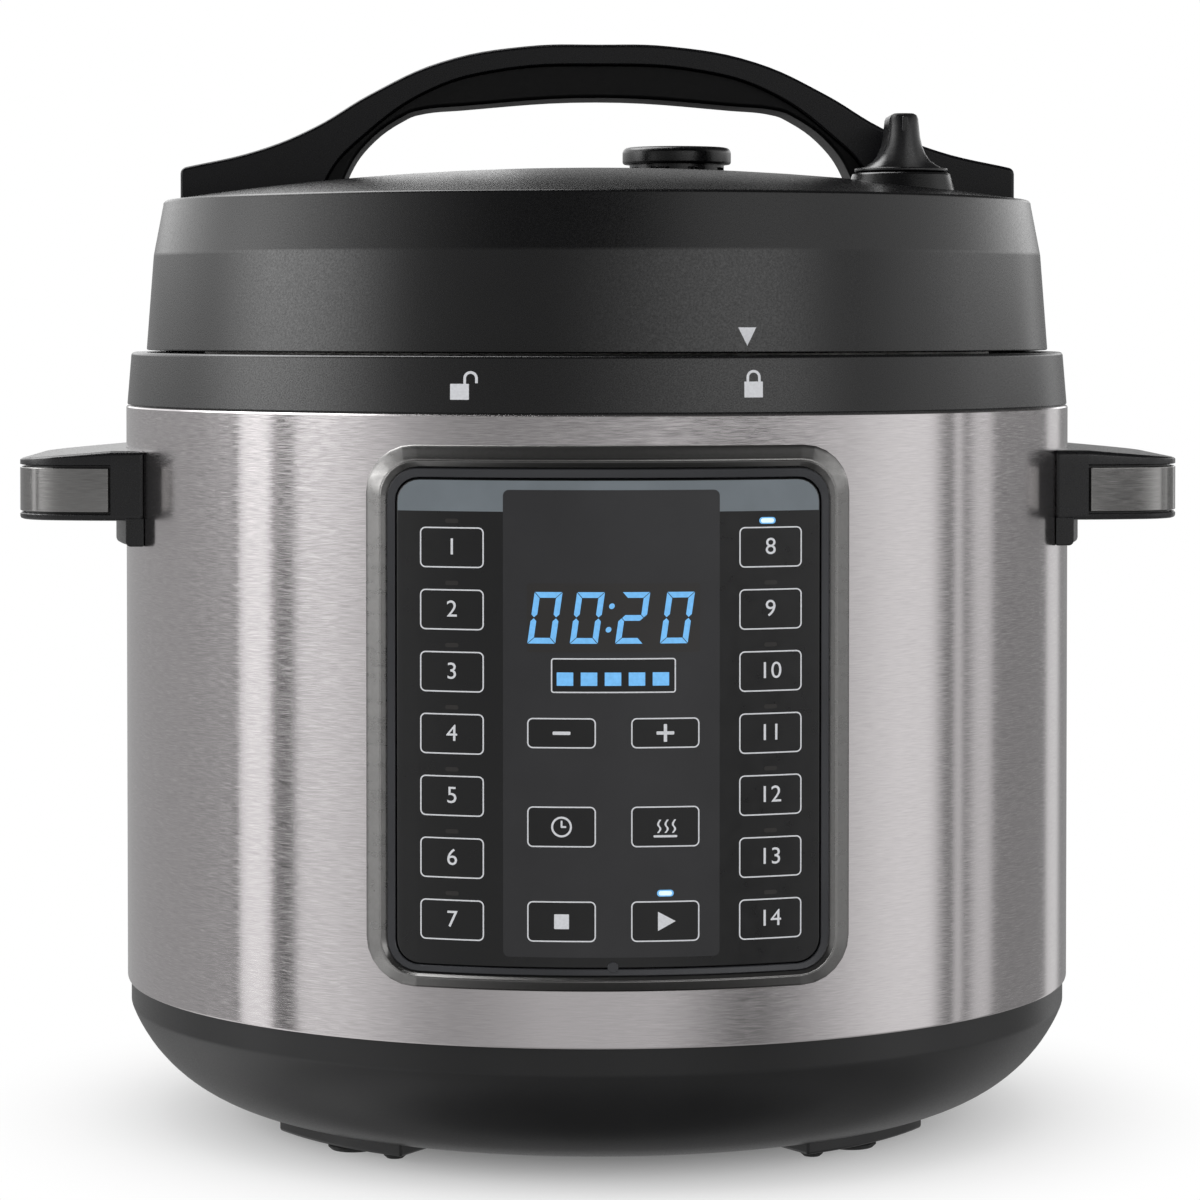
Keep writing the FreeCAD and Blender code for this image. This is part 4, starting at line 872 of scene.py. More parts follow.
def number(text, x, z, height):
    """Plain number as a flat front view."""
    curve = bpy.data.curves.new("number", "FONT")
    curve.body, curve.size = text, height * FONT_SIZE_PER_HEIGHT
    curve.align_x, curve.align_y = "CENTER", "CENTER"
    curve.resolution_u = 6
    holder = new_object("number", curve)
    bpy.context.view_layer.update()
    mesh = bpy.data.meshes.new_from_object(holder.evaluated_get(bpy.context.evaluated_depsgraph_get()))
    bpy.data.objects.remove(holder)
    bpy.data.curves.remove(curve)
    bm = bmesh.new()
    bm.from_mesh(mesh)
    bpy.data.meshes.remove(mesh)
    swing(bm, 90, "X")
    bmesh.ops.translate(bm, vec=(x, 0.0, z), verts=bm.verts)
    return bm


def digit(text, x):
    """Seven-bar digit with mitred bars."""
    lit = {"0": "abcdef", "2": "abged"}[text]
    half_u, half_v = sizes().digit_width / MM / 2, sizes().digit_height / MM / 2
    stroke, gap = sizes().digit_stroke / MM, 0.13
    u, v, half = half_u - stroke, half_v - stroke, stroke / 2
    level = [(half_u - gap, half_v), (-half_u + gap, half_v), (-u + gap, v), (u - gap, v)]
    upright = [(half_u, half_v - gap), (u, v - gap), (u, half + gap), (u + half, gap), (half_u, half + gap)]
    middle = [(u + half - gap, 0.0), (u - gap, half), (-u + gap, half), (-u - half + gap, 0.0),
              (-u + gap, -half), (u - gap, -half)]
    bars = {"a": (level, 1, 1), "d": (level, 1, -1), "b": (upright, 1, 1), "c": (upright, 1, -1),
            "e": (upright, -1, -1), "f": (upright, -1, 1), "g": (middle, 1, 1)}
    plates = []
    for name in lit:
        points, flip_u, flip_v = bars[name]
        plates.append(plate([(x + flip_u * a, DISPLAY_Z + flip_v * b) for a, b in points]))
    return joined(*plates)


def print_layer(bm, name, ink, layer):
    """Printed layer wrapped on the film."""
    lift = FILM_TOP + layer * sizes().ink_step / MM
    bm.normal_update()
    bmesh.ops.reverse_faces(bm, faces=[face for face in bm.faces if face.normal.y > 0])
    return piece(wrap(lifted(bm, lift), body_radius), name, "panel_overlay", ink)


class PanelPrintOperator(bpy.types.Operator):
    """Printed fields, key outlines, signs and lights on the film"""
    bl_idname = "cooker.panel_print"
    bl_label = "Panel print"

    def execute(self, context):
        self.fields()
        self.keys()
        self.lights()
        return {"FINISHED"}

    def fields(self):
        band_z, field_low, field_high, field_w, field_x = 187.0, 66.8, 192.9, 58.5, 0.55
        inset = 0.5
        film_w, film_h = FILM_HIGH.x - FILM_LOW.x, FILM_HIGH.z - FILM_LOW.z
        band = rounded_plate(film_w - inset, film_h - inset, 6.0, 0.0, (FILM_LOW.z + FILM_HIGH.z) / 2)
        cut(band, (0, 0, band_z), (0, 0, -1), clear_outer=True)
        print_layer(band, "header_band", "header_film", 1)
        field = rounded_plate(field_w, field_high - field_low, 1.6, field_x, (field_low + field_high) / 2)
        print_layer(field, "display_field", "field_film", 2)
        window = rounded_plate(*DISPLAY_SIZE, 0.8, DISPLAY_X, DISPLAY_Z)
        print_layer(window, "display_window", "window_film", 3)

    def keys(self):
        wide, high = sizes().key_width / MM, sizes().key_height / MM
        middle, low = sizes().wide_key_width / MM, sizes().low_key_height / MM
        sign = sizes().sign_height / MM
        lines = [key_outline(STATUS_X, STATUS_Z, *STATUS_SIZE, STATUS_CORNER)]
        fills = [rounded_plate(*STATUS_SIZE, STATUS_CORNER, STATUS_X, STATUS_Z)]
        signs = []
        for row in range(KEY_ROWS):
            z = KEY_TOP_Z - row * KEY_PITCH
            for column, x in enumerate(KEY_COLUMNS):
                lines.append(key_outline(x, z, wide, high))
                signs.append(number(str(row + 1 + column * KEY_ROWS), x, z, sign))
        for row, z in enumerate(MIDDLE_ROWS):
            for x in MIDDLE_COLUMNS:
                height = high if row else low
                lines.append(key_outline(x, z, middle, height))
                fills.append(rounded_plate(middle, height, sizes().key_corner / MM, x, z))
        left, right = MIDDLE_COLUMNS
        time_z, hold_z, start_z = MIDDLE_ROWS
        stroke, reach, square = 0.9, 4.8, 4.0
        signs += [bar(left, time_z, reach, stroke), bar(right, time_z, reach, stroke)]
        signs += [bar(right, time_z, stroke, reach), bar(left, start_z, square, square)]
        signs += [self.clock(left, hold_z), self.warmth(right, hold_z)]
        signs += [plate([(right - 2.0, start_z - 2.6), (right + 2.8, start_z), (right - 2.0, start_z + 2.6)])]
        print_layer(joined(*fills), "key_fills", "key_film", 3)
        print_layer(joined(*lines), "key_outlines", "white_ink", 4)
        print_layer(joined(*signs), "key_signs", "white_ink", 4)

    def clock(self, x, z):
        """Clock sign: a ring with two hands."""
        ring = flat_ring(x, z, 2.25, 2.8, math.tau, 40)
        return joined(ring, bar(x, z + 0.75, 0.5, 1.9, 0.1), bar(x + 0.55, z, 1.4, 0.5, 0.1))

    def warmth(self, x, z):
        """Warm sign: three rising waves over a line."""
        waves = [bar(x, z - 2.6, 6.4, 0.6)]
        sway, stroke = 0.6, 0.55
        for shift in (-2.0, 0.0, 2.0):
            side = smooth_path([(x + shift, z - 1.7), (x + shift + sway, z - 0.6), (x + shift, z + 0.6),
                                (x + shift + sway, z + 1.9)])
            wave = bmesh.new()
            _, edges = chain(wave, [(u - 0.25, 0.0, v) for u, v in side], False)
            push(wave, bmesh.ops.extrude_edge_only(wave, edges=edges), (stroke, 0.0, 0.0))
            waves.append(wave)
        return joined(*waves)

    def lights(self):
        slant, lamp_lift, start_lift = math.tan(sizes().digit_slant), 7.2, 7.6
        dot, dot_rise, square, square_pitch = (1.52, 1.52, 0.75), 3.16, (4.45, 3.6, 0.1), 6.46
        lamp, halo = (3.6, 1.2, 0.55), (4.5, 1.8, 0.85)
        digits = [digit(text, x) for text, x in zip("0020", DIGIT_X)]
        digits += [rounded_plate(*dot, COLON_X, DISPLAY_Z + z) for z in (dot_rise, -dot_rise)]
        display = joined(*digits)
        for vert in display.verts:
            vert.co.x += (vert.co.z - DISPLAY_Z) * slant
        print_layer(display, "display_digits", "segment_light", 4)
        squares = [rounded_plate(*square, STATUS_X + (i - 2) * square_pitch - 0.15, STATUS_Z - 0.95)
                   for i in range(5)]
        print_layer(joined(*squares), "status_lights", "segment_light", 4)
        lit = [(KEY_COLUMNS[1] - 0.9, KEY_TOP_Z + lamp_lift),
               (MIDDLE_COLUMNS[1], MIDDLE_ROWS[2] + start_lift)]
        dark = [(x, KEY_TOP_Z + lamp_lift - row * KEY_PITCH) for row in range(KEY_ROWS) for x in KEY_COLUMNS]
        dark.remove((KEY_COLUMNS[1], KEY_TOP_Z + lamp_lift))
        for name, ink, size, places, layer in (("dark_lamps", "window_film", lamp, dark, 4),
                                               ("lamp_glow", "segment_light", halo, lit, 4),
                                               ("indicator_lamps", "lamp_light", lamp, lit, 5)):
            print_layer(joined(*(rounded_plate(*size, x, z) for x, z in places)), name, ink, layer)


# Side handles

HANDLE_BOW_R, HANDLE_BOW_X, HANDLE_CORNER, HANDLE_UNDER_Z = 90.0, 134.0, 16.0, 180.1
LEG_X, LEG_DEEP = 138.4, 4.5


def body_x(y):
    """Where a handle's seat meets the body at a distance from the middle."""
    return math.sqrt((BODY_R + 0.1) ** 2 - y ** 2)


def handle_turn(x, inset):
    """Angle on the handle's bowed side at a distance from the middle."""
    return math.asin((x - HANDLE_BOW_X) / (HANDLE_BOW_R - inset))


def handle_side(turn, inset):
    """Point of the bowed side at an angle."""
    bow = HANDLE_BOW_R - inset
    return HANDLE_BOW_X + bow * math.sin(turn), GRIP_HIGH.y - inset - bow * (1 - math.cos(turn))


def handle_edge(inset, start, steps=8):
    """Plan of a handle's edge: from a start in front round its bowed side and end to the back."""
    corner, corner_x = HANDLE_CORNER - inset, GRIP_HIGH.x - HANDLE_CORNER
    first = handle_turn(start, inset)
    sweep = math.asin((corner_x - HANDLE_BOW_X) / (HANDLE_BOW_R - HANDLE_CORNER))
    corner_y = handle_side(sweep, inset)[1] - corner * math.cos(sweep)
    side = [handle_side(first + (sweep - first) * i / steps, inset) for i in range(steps + 1)]
    turns = [sweep + (math.pi / 2 - sweep) * (i + 1) / steps for i in range(steps)]
    side += [(corner_x + corner * math.sin(t), corner_y + corner * math.cos(t)) for t in turns]
    return [(x, -y) for x, y in side] + side[::-1]


def handle_ring(inset, groove, z, slope):
    """Outline of a handle against the round body at a height. A groove starts beside the band's end."""
    turn, half, steps = 1.3, GRIP_HIGH.y - inset, 14
    root, wall = body_x(half), TRIM_LOW.x - 0.7
    points = handle_edge(inset + groove, wall + 0.05)
    for x in (wall, root + turn):
        x, y = handle_side(handle_turn(x, inset), inset)
        points = [(x, -y)] + points + [(x, y)]
    for step in (1, 2, 3):
        angle = math.radians(30 * step)
        y = half - turn * (1 - math.cos(angle))
        points.append((max(body_x(y), root + turn * (1 - math.sin(angle))), y))
    seat = [half - turn - (half - turn) * 2 * i / steps for i in range(1, steps)]
    points += [(body_x(y), y) for y in seat]
    points += [(x, -y) for x, y in points[-steps:-steps - 3:-1]]
    return [(x, y, z - slope * max(0.0, x - BODY_R)) for x, y in points]


class SideHandlesOperator(bpy.types.Operator):
    """Two side handles with their brushed bands and screws"""
    bl_idname = "cooker.side_handles"
    bl_label = "Side handles"

    def execute(self, context):
        for side, name in ((1, "right"), (-1, "left")):
            handle = joined(self.lug(), self.pad(), self.leg(1), self.leg(-1))
            shell(turned_side(handle, side), name + "_handle")
            shell(turned_side(self.band(), side), name + "_handle_trim")
        polished("handle_screws")
        return {"FINISHED"}

    def lug(self):
        """Grip with a groove for the band, a sloping top and a finger pocket below."""
        low, top, tilt = HANDLE_UNDER_Z, GRIP_HIGH.z, 0.086
        groove_low, groove_high, deep = TRIM_LOW.z - 0.5, TRIM_HIGH.z + 0.6, 1.7
        pocket_wall, pocket_deep = 4.6, 13.5
        levels = [(0.9, 0.0, low), (0.25, 0.0, low + 0.25), (0.0, 0.0, low + 0.8),
                  (0.0, 0.0, groove_low - 0.3), (0.0, 0.3, groove_low), (0.0, deep, groove_low),
                  (0.0, deep, groove_high)]
        crown = [(0.0, 0.3, groove_high), (0.0, 0.0, groove_high + 0.3), (0.0, 0.0, top - 1.5),
                 (0.1, 0.0, top - 0.9), (0.45, 0.0, top - 0.4), (0.95, 0.0, top - 0.1), (1.5, 0.0, top)]
        loops = [handle_ring(inset, groove, z, 0.0) for inset, groove, z in levels]
        for inset, groove, z in crown:
            slope = tilt * max(0.0, z - groove_high) / (top - groove_high)
            loops.append(handle_ring(inset, groove, z, slope))
        bm = loft(loops)
        floor = min(bm.faces, key=lambda face: face.calc_center_median().z)
        bmesh.ops.inset_region(bm, faces=[floor], thickness=pocket_wall, use_even_offset=True)
        push(bm, bmesh.ops.extrude_face_region(bm, geom=[floor]), (0.0, 0.0, pocket_deep))
        bmesh.ops.delete(bm, geom=[floor], context="FACES_ONLY")
        return close_up(bm)

    def pad(self):
        """Plate that seats the handle on the body."""
        half, low, high, corner = GRIP_HIGH.y - 1.0, GRIP_LOW.z, GRIP_HIGH.z - 0.4, 4.0
        loops = []
        for inset, height in ((0.0, 0.1), (0.0, 2.3), (0.3, 2.85), (0.9, 3.1)):
            face = rounded_plate(2 * (half - inset), high - low - 2 * inset, corner - inset, 0.0,
                                 (low + high) / 2)
            loops.append(edge_of(lifted(face, height)))
        bm = wrap(loft(loops), body_radius)
        swing(bm, 90, "Z")
        return bm

    def leg(self, end):
        """Foot of the handle's side wall, flush with its face."""
        root, low, high = BODY_R - 11.0, GRIP_LOW.z, HANDLE_UNDER_Z + 0.9
        face = end * GRIP_HIGH.y
        bm = plate([(root, low), (LEG_X, low), (LEG_X, high), (root, high)], {1: 1.5},
                   place=lambda u, v: (u, face, v))
        thick(bm, (0.0, -end * LEG_DEEP, 0.0))
        for vert in bm.verts:
            if vert.co.x < root + 0.01:
                vert.co.x = body_x(vert.co.y)
        soften(bm, 0.4)
        return bm

    def band(self):
        """Brushed band round the handle's edge."""
        deep = 1.5
        bm = bmesh.new()
        chain(bm, [(x, y, TRIM_LOW.z) for x, y in handle_edge(0.0, TRIM_LOW.x)], False)
        push(bm, bmesh.ops.extrude_edge_only(bm, edges=bm.edges[:]), (0.0, 0.0, TRIM_HIGH.z - TRIM_LOW.z))
        bmesh.ops.recalc_face_normals(bm, faces=bm.faces)
        inside = Vector((TRIM_LOW.x, 0, 0))
        outward = sum(face.normal.dot(face.calc_center_median() - inside) for face in bm.faces)
        bmesh.ops.solidify(bm, geom=bm.faces[:], thickness=deep if outward > 0 else -deep)
        close_up(bm)
        soften(bm, sizes().trim_round / MM)
        return bm


# Back, vessel and electronics

class BackFittingsOperator(bpy.types.Operator):
    """Power inlet, its pins, the condensate cup and the cup's bracket"""
    bl_idname = "cooker.back_fittings"
    bl_label = "Back fittings"

    def execute(self, context):
        polished("power_inlet", 0.5)
        polished("inlet_pins", 0.3)
        polished("collector_bracket", 0.5)
        polished("condensation_collector")
        return {"FINISHED"}


class VesselOperator(bpy.types.Operator):
    """Pot, liner, locking ring and the heater under the pot"""
    bl_idname = "cooker.vessel"
    bl_label = "Vessel"

    def execute(self, context):
        for node in ("locking_ring", "liner", "heat_plate", "heating_element", "plate_brackets",
                     "temp_sensor", "pressure_switch", "thermal_fuse"):
            polished(node)
        shell(self.pot(), "inner_pot")
        return {"FINISHED"}

    def pot(self):
        wall, floor, corner = 1.2, 2.5, 12.0
        outer, rim = 111.2, POT_HIGH.x
        inner, low, top = outer - wall, POT_LOW.z, POT_HIGH.z
        under_rim = top - 1.5
        return lathe([(0.0, low), (outer, low, corner), (outer, under_rim, 1.0), (rim, under_rim, 0.6),
                      (rim, top, 0.6), (inner, top, 1.4), (inner, low + floor, corner - wall),
                      (0.0, low + floor)])


class ElectronicsOperator(bpy.types.Operator):
    """Boards and display behind the panel"""
    bl_idname = "cooker.electronics"
    bl_label = "Electronics"

    def execute(self, context):
        for node in ("control_board", "display_module", "power_board", "board_pillars"):
            polished(node)
        return {"FINISHED"}


# Lid

def dome_z(radius, drop=0.0):
    """Height of the lid's ball at a radius."""
    ball = DOME_R - drop
    return LID_HIGH.z - DOME_R + math.sqrt(ball ** 2 - radius ** 2)


class LidOperator(bpy.types.Operator):
    """Lid shell with its mark, inner lid, seal and fixings"""
    bl_idname = "cooker.lid"
    bl_label = "Lid"

    def execute(self, context):
        crease, edge, shoulder = (133.7, 258.0), (130.8, 273.0), (130.5, 273.95)
        rim_r, inner_r, wall, steps = 129.6, 127.0, 2.6, 10
        valve_hole, float_hole, dial_hole = 16.0, 3.8, 5.6
        profile = [(LID_HIGH.x - 2.7, LID_LOW.z), (LID_HIGH.x, LID_LOW.z, 0.5), (*crease, 0.5), edge]
        profile += arc(edge, shoulder, (rim_r, dome_z(rim_r)), 5)
        radii = [rim_r * (1 - (i + 1) / steps) for i in range(steps)]
        profile += [(r, dome_z(r)) for r in radii]
        profile += [(inner_r * i / steps, dome_z(inner_r * i / steps, wall)) for i in range(steps + 1)]
        profile += [(crease[0] - wall, crease[1])]
        holes = [(*VALVE_XY, valve_hole), (*FLOAT_XY, float_hole), (*DIAL_XY, dial_hole)]
        shell(cut_holes(lathe(profile), holes), "lid_shell")
        x, z, half, lift = 37.8, 234.1, 2.5, sizes().ink_step / MM
        mark = plate([(x - half, z + half), (x + half, z + half), (x, z - half)])
        piece(wrap(lifted(mark, lift), lid_radius), "lid_mark", "lid_shell", "white_ink")
        for node in ("inner_lid", "lid_bolts", "lid_handle_screws", "lid_closing_ring", "seal_rack",
                     "sealing_ring"):
            polished(node)
        return {"FINISHED"}


# Left halves of the lid handle's front view: its upper side, its underside and the grip's underside.
ARCH_OVER = ((-124.8, 283.9), (-101.6, 289.3), (-84.8, 296.2), (-68.1, 306.1), (-47.3, 315.6),
             (-21.7, 320.4), (0.0, 320.92))
ARCH_UNDER = ((-83.5, 272.0), (-80.9, 281.7), (-69.3, 294.4), (-50.3, 307.3), (-31.1, 313.0), (0.0, 314.9))
INSERT_UNDER = ((-78.5, 272.0), (-75.7, 281.6), (-69.5, 291.2), (-57.5, 300.0), (-54.5, 301.1),
                (-40.7, 302.6), (0.0, 305.1))
HANDLE_FOOT_R, SEAT_SINK = 80.0, 1.5


def both_sides(points):
    """A left half and its mirror image, from left to right."""
    return list(points) + [(-u, v) for u, v in reversed(points[:-1])]


class LidHandleOperator(bpy.types.Operator):
    """Arched lid handle and the grip insert under it"""
    bl_idname = "cooker.lid_handle"
    bl_label = "Lid handle"

    def execute(self, context):
        seat = dome_z(HANDLE_FOOT_R) - SEAT_SINK
        over = smooth_path(both_sides(ARCH_OVER))
        under = self.above(seat, ARCH_UNDER)
        toe = (ARCH_HIGH.x, dome_z(ARCH_HIGH.x) - SEAT_SINK)
        arch = over + [toe] + under[::-1] + [(-toe[0], toe[1])]
        seam, toe_round = sizes().seam_round / MM, 1.6
        ends = {0: toe_round, len(over) - 1: toe_round}
        bow = self.slab(arch, ARCH_HIGH.y, sizes().arch_round / MM, seam, ends)
        shell(bow, "handle_arch", "arch_plastic")
        insert = under + self.above(seat, INSERT_UNDER)[::-1]
        shell(self.slab(insert, INSERT_HIGH.y, seam, sizes().insert_round / MM), "handle_grip")
        return {"FINISHED"}

    def above(self, seat, points):
        """The part of a smooth underside that stands above the lid's seat."""
        return [(u, v) for u, v in smooth_path(both_sides(points)) if v > seat]

    def slab(self, outline, half, over_round, under_round, corners=None):
        """Outline pushed to a thickness, with the rims of its upper and lower sides rounded."""
        bm = plate(outline, corners, place=lambda u, v: (u, -half, v))
        thick(bm, (0.0, 2 * half, 0.0))
        foot, level = dome_z(HANDLE_FOOT_R), -0.1
        self.round_rims(bm, over_round, lambda side: side.normal.z > level)
        self.round_rims(bm, under_round,
                        lambda side: side.normal.z <= level and side.calc_center_median().z > foot)
        return bm

    def round_rims(self, bm, radius, wanted):
        """Round the edges between the flat cheeks and the sides that pass a test."""
        bm.normal_update()
        rims = []
        for edge in bm.edges:
            side, cheek = sorted(edge.link_faces, key=lambda face: abs(face.normal.y))
            if abs(side.normal.y) < 0.01 and abs(cheek.normal.y) > 0.99 and wanted(side):
                rims.append(edge)
        bevel(bm, rims, radius, 5, clamp=False)


# Steam release

class SteamReleaseOperator(bpy.types.Operator):
    """Release dial, steam valve, float and the linkage under the lid"""
    bl_idname = "cooker.steam_release"
    bl_label = "Steam release"

    def execute(self, context):
        self.dial()
        self.valve()
        for node in ("release_lever", "lever_pin", "vent_pipe", "block_shield", "float_pin", "float_seal"):
            polished(node)
        return {"FINISHED"}

    def dial(self):
        steps, roundness = sizes().small_steps, 0.93
        low, top, bore_r = DIAL_BASE_LOW.z, DIAL_BASE_HIGH.z, 6.2
        cone = lathe([(bore_r, low), (17.6, low), (14.2, top, 0.8), (bore_r, top, 0.4)], DIAL_XY, steps)
        shell(cone, "dial_base")
        disc_z, stem_r, collar_r, disc_r = DIAL_BASE_HIGH.z + 0.3, 5.0, 7.0, 13.6
        collar_low, collar_top = DIAL_LOW.z, DIAL_LOW.z + 2.2
        foot, top = disc_z + 1.0, DIAL_HIGH.z
        disc = lathe([(0.0, collar_low), (collar_r, collar_low), (collar_r, collar_top), (stem_r, collar_top),
                      (stem_r, disc_z), (disc_r, disc_z, 0.3), (disc_r, foot, 0.4), (0.0, foot)],
                     DIAL_XY, steps)
        fin = [(12.4, 13.2, foot - 0.2), (10.2, 13.1, foot + 0.7), (8.0, 13.0, foot + 2.0),
               (6.4, 12.9, foot + 4.0), (5.3, 12.7, foot + 6.5), (4.7, 12.4, foot + 9.0),
               (4.4, 12.0, foot + 12.0), (4.2, 11.5, top - 1.5), (3.8, 11.1, top - 0.5), (2.9, 10.2, top)]
        loops = []
        for half_x, half_y, z in fin:
            flat = plate([(half_x, -half_y), (half_x, half_y), (-half_x, half_y), (-half_x, -half_y)],
                         {i: min(half_x, half_y) * roundness for i in range(4)},
                         place=lambda u, v: (DIAL_XY[0] + u, DIAL_XY[1] + v, z))
            loops.append(edge_of(flat))
        pointer_size, pointer_drop, pointer_reach, pointer_deep = (1.8, 5.0, 0.7), 3.4, 12.2, 2.0
        pointer = rounded_plate(*pointer_size, DIAL_XY[0], top - pointer_drop)
        bmesh.ops.translate(pointer, vec=(0.0, DIAL_XY[1] - pointer_reach, 0.0), verts=pointer.verts)
        thick(pointer, (0.0, pointer_deep, 0.0))
        soften(pointer, 0.3)
        shell(joined(disc, loft(loops), pointer), "release_dial")

    def valve(self):
        steps = sizes().small_steps
        top, cap_r, skirt_r = CAP_HIGH.z, 17.0, 14.8
        low = top - 5.3
        cap = lathe([(0.0, low), (cap_r, low, 0.8), (cap_r, top, 1.8), (0.0, top)], VALVE_XY, steps)
        skirt_low, floor_z, sill, lintel, wall = 278.6, 280.2, 281.2, 286.2, 2.4
        window_pitch, window_half = 45.0, 14.0
        skirt = lathe([(skirt_r, z) for z in (skirt_low, floor_z, sill, lintel, low + 0.2)], VALVE_XY, steps,
                      closed=False)

        def is_window(spot):
            angle = math.degrees(math.atan2(spot.y - VALVE_XY[1], spot.x - VALVE_XY[0])) - window_pitch / 2
            return sill < spot.z < lintel and abs(math.remainder(angle, window_pitch)) < window_half

        opened(skirt, is_window, wall)
        bore_r, stem_r, flange_r, floor_r = 4.7, 5.8, 9.0, 12.6
        flange_low, flange_top, stem_top = CAP_LOW.z, CAP_LOW.z + 1.6, low + 0.1
        stem = lathe([(bore_r, flange_low), (flange_r, flange_low), (flange_r, flange_top),
                      (stem_r, flange_top), (stem_r, skirt_low), (floor_r, skirt_low), (floor_r, floor_z),
                      (stem_r, floor_z), (stem_r, stem_top), (bore_r, stem_top)], VALVE_XY, steps)
        shell(joined(cap, skirt, stem), "steam_valve_cap")


# Stage

# Studio panels that shiny surfaces see, as left edge, right edge, band and brightness. An edge is
# (dark, full), in degrees from the front for left and right, and in the sine of the height for a band.
ROUND_LEFT, ROUND_RIGHT = (-182, -181), (182, 181)
BELOW = ((-2.0, -1.5), (-0.22, -0.45))
EYE = ((-0.45, -0.22), (0.11, 0.04))
FRONT = ((-0.45, -0.22), (-0.02, -0.07))
ABOVE = ((0.04, 0.11), (0.3, 0.16))
HIGH = ((0.16, 0.3), (0.6, 0.42))
OVERHEAD = ((0.42, 0.6), (2.0, 1.5))
PANELS = {
    "left_wall": (ROUND_LEFT, (-97, -99), EYE, 0.25),
    "left_strip": ((-97, -95), (-84, -86), EYE, 0.95),
    "left_key": ((-79, -76), (-15, -72), EYE, 0.68),
    "eye_fill": (ROUND_LEFT, ROUND_RIGHT, EYE, 0.08),
    "front_fill": ((-45, -10), (38, 10), FRONT, 0.5),
    "right_key": ((30, 77), (92, 84), EYE, 0.82),
    "right_strip": ((92, 94), (97, 95), EYE, 0.7),
    "right_wall": ((96, 98), ROUND_RIGHT, EYE, 0.13),
    "right_post": ((97, 102), (110, 106), EYE, 0.45),
    "far_strip": ((136, 141), (154, 147), EYE, 0.5),
    "low_left": ((-160, -110), (-20, -85), BELOW, 0.75),
    "low_fill": (ROUND_LEFT, ROUND_RIGHT, BELOW, 0.4),
    "left_box": ((-115, -90), (-45, -82), ABOVE, 5.0),
    "left_rim": (ROUND_LEFT, (-95, -110), ABOVE, 1.2),
    "right_box": ((-15, 33), (65, 40), ABOVE, 2.3),
    "right_rim": ((60, 110), (180, 155), ABOVE, 1.4),
    "ring_fill": (ROUND_LEFT, ROUND_RIGHT, ABOVE, 0.4),
    "left_high": (ROUND_LEFT, (-20, -90), HIGH, 1.2),
    "right_high": ((0, 35), (140, 80), HIGH, 0.9),
    "top_panel": ((-175, -130), (-80, -108), OVERHEAD, 8.0),
}
DARK_ROOM = 0.08
# Share of the surround's brightness by the sine of its height: dark under the body, dimmer half-way up.
HEIGHTS = ((-1.0, 0.05), (-0.91, 0.08), (-0.86, 0.7), (-0.79, 0.7), (-0.73, 0.25), (-0.6, 0.85),
           (-0.35, 0.85), (-0.18, 1.0), (0.38, 1.0), (0.5, 0.8), (1.0, 1.0))
FLOOR_R, SHADOW_FULL, SHADOW_GONE = 12.0, 0.04, 0.20
AIM = Vector((0.0, 0.0, 0.15))
SENSOR_WIDTH = 36.0


def calc(tree, operation, *values):
    """Result of a sum on values or other nodes' sockets."""
    return add_node(tree, "Math", dict(enumerate(values)), operation=operation).outputs["Value"]


def fade_in(tree, value, dark, full, **settings):
    """Share that grows from none to all between two values."""
    ends = {"Value": value, "From Min": dark, "From Max": full}
    return add_node(tree, "MapRange", ends, **settings).outputs["Result"]


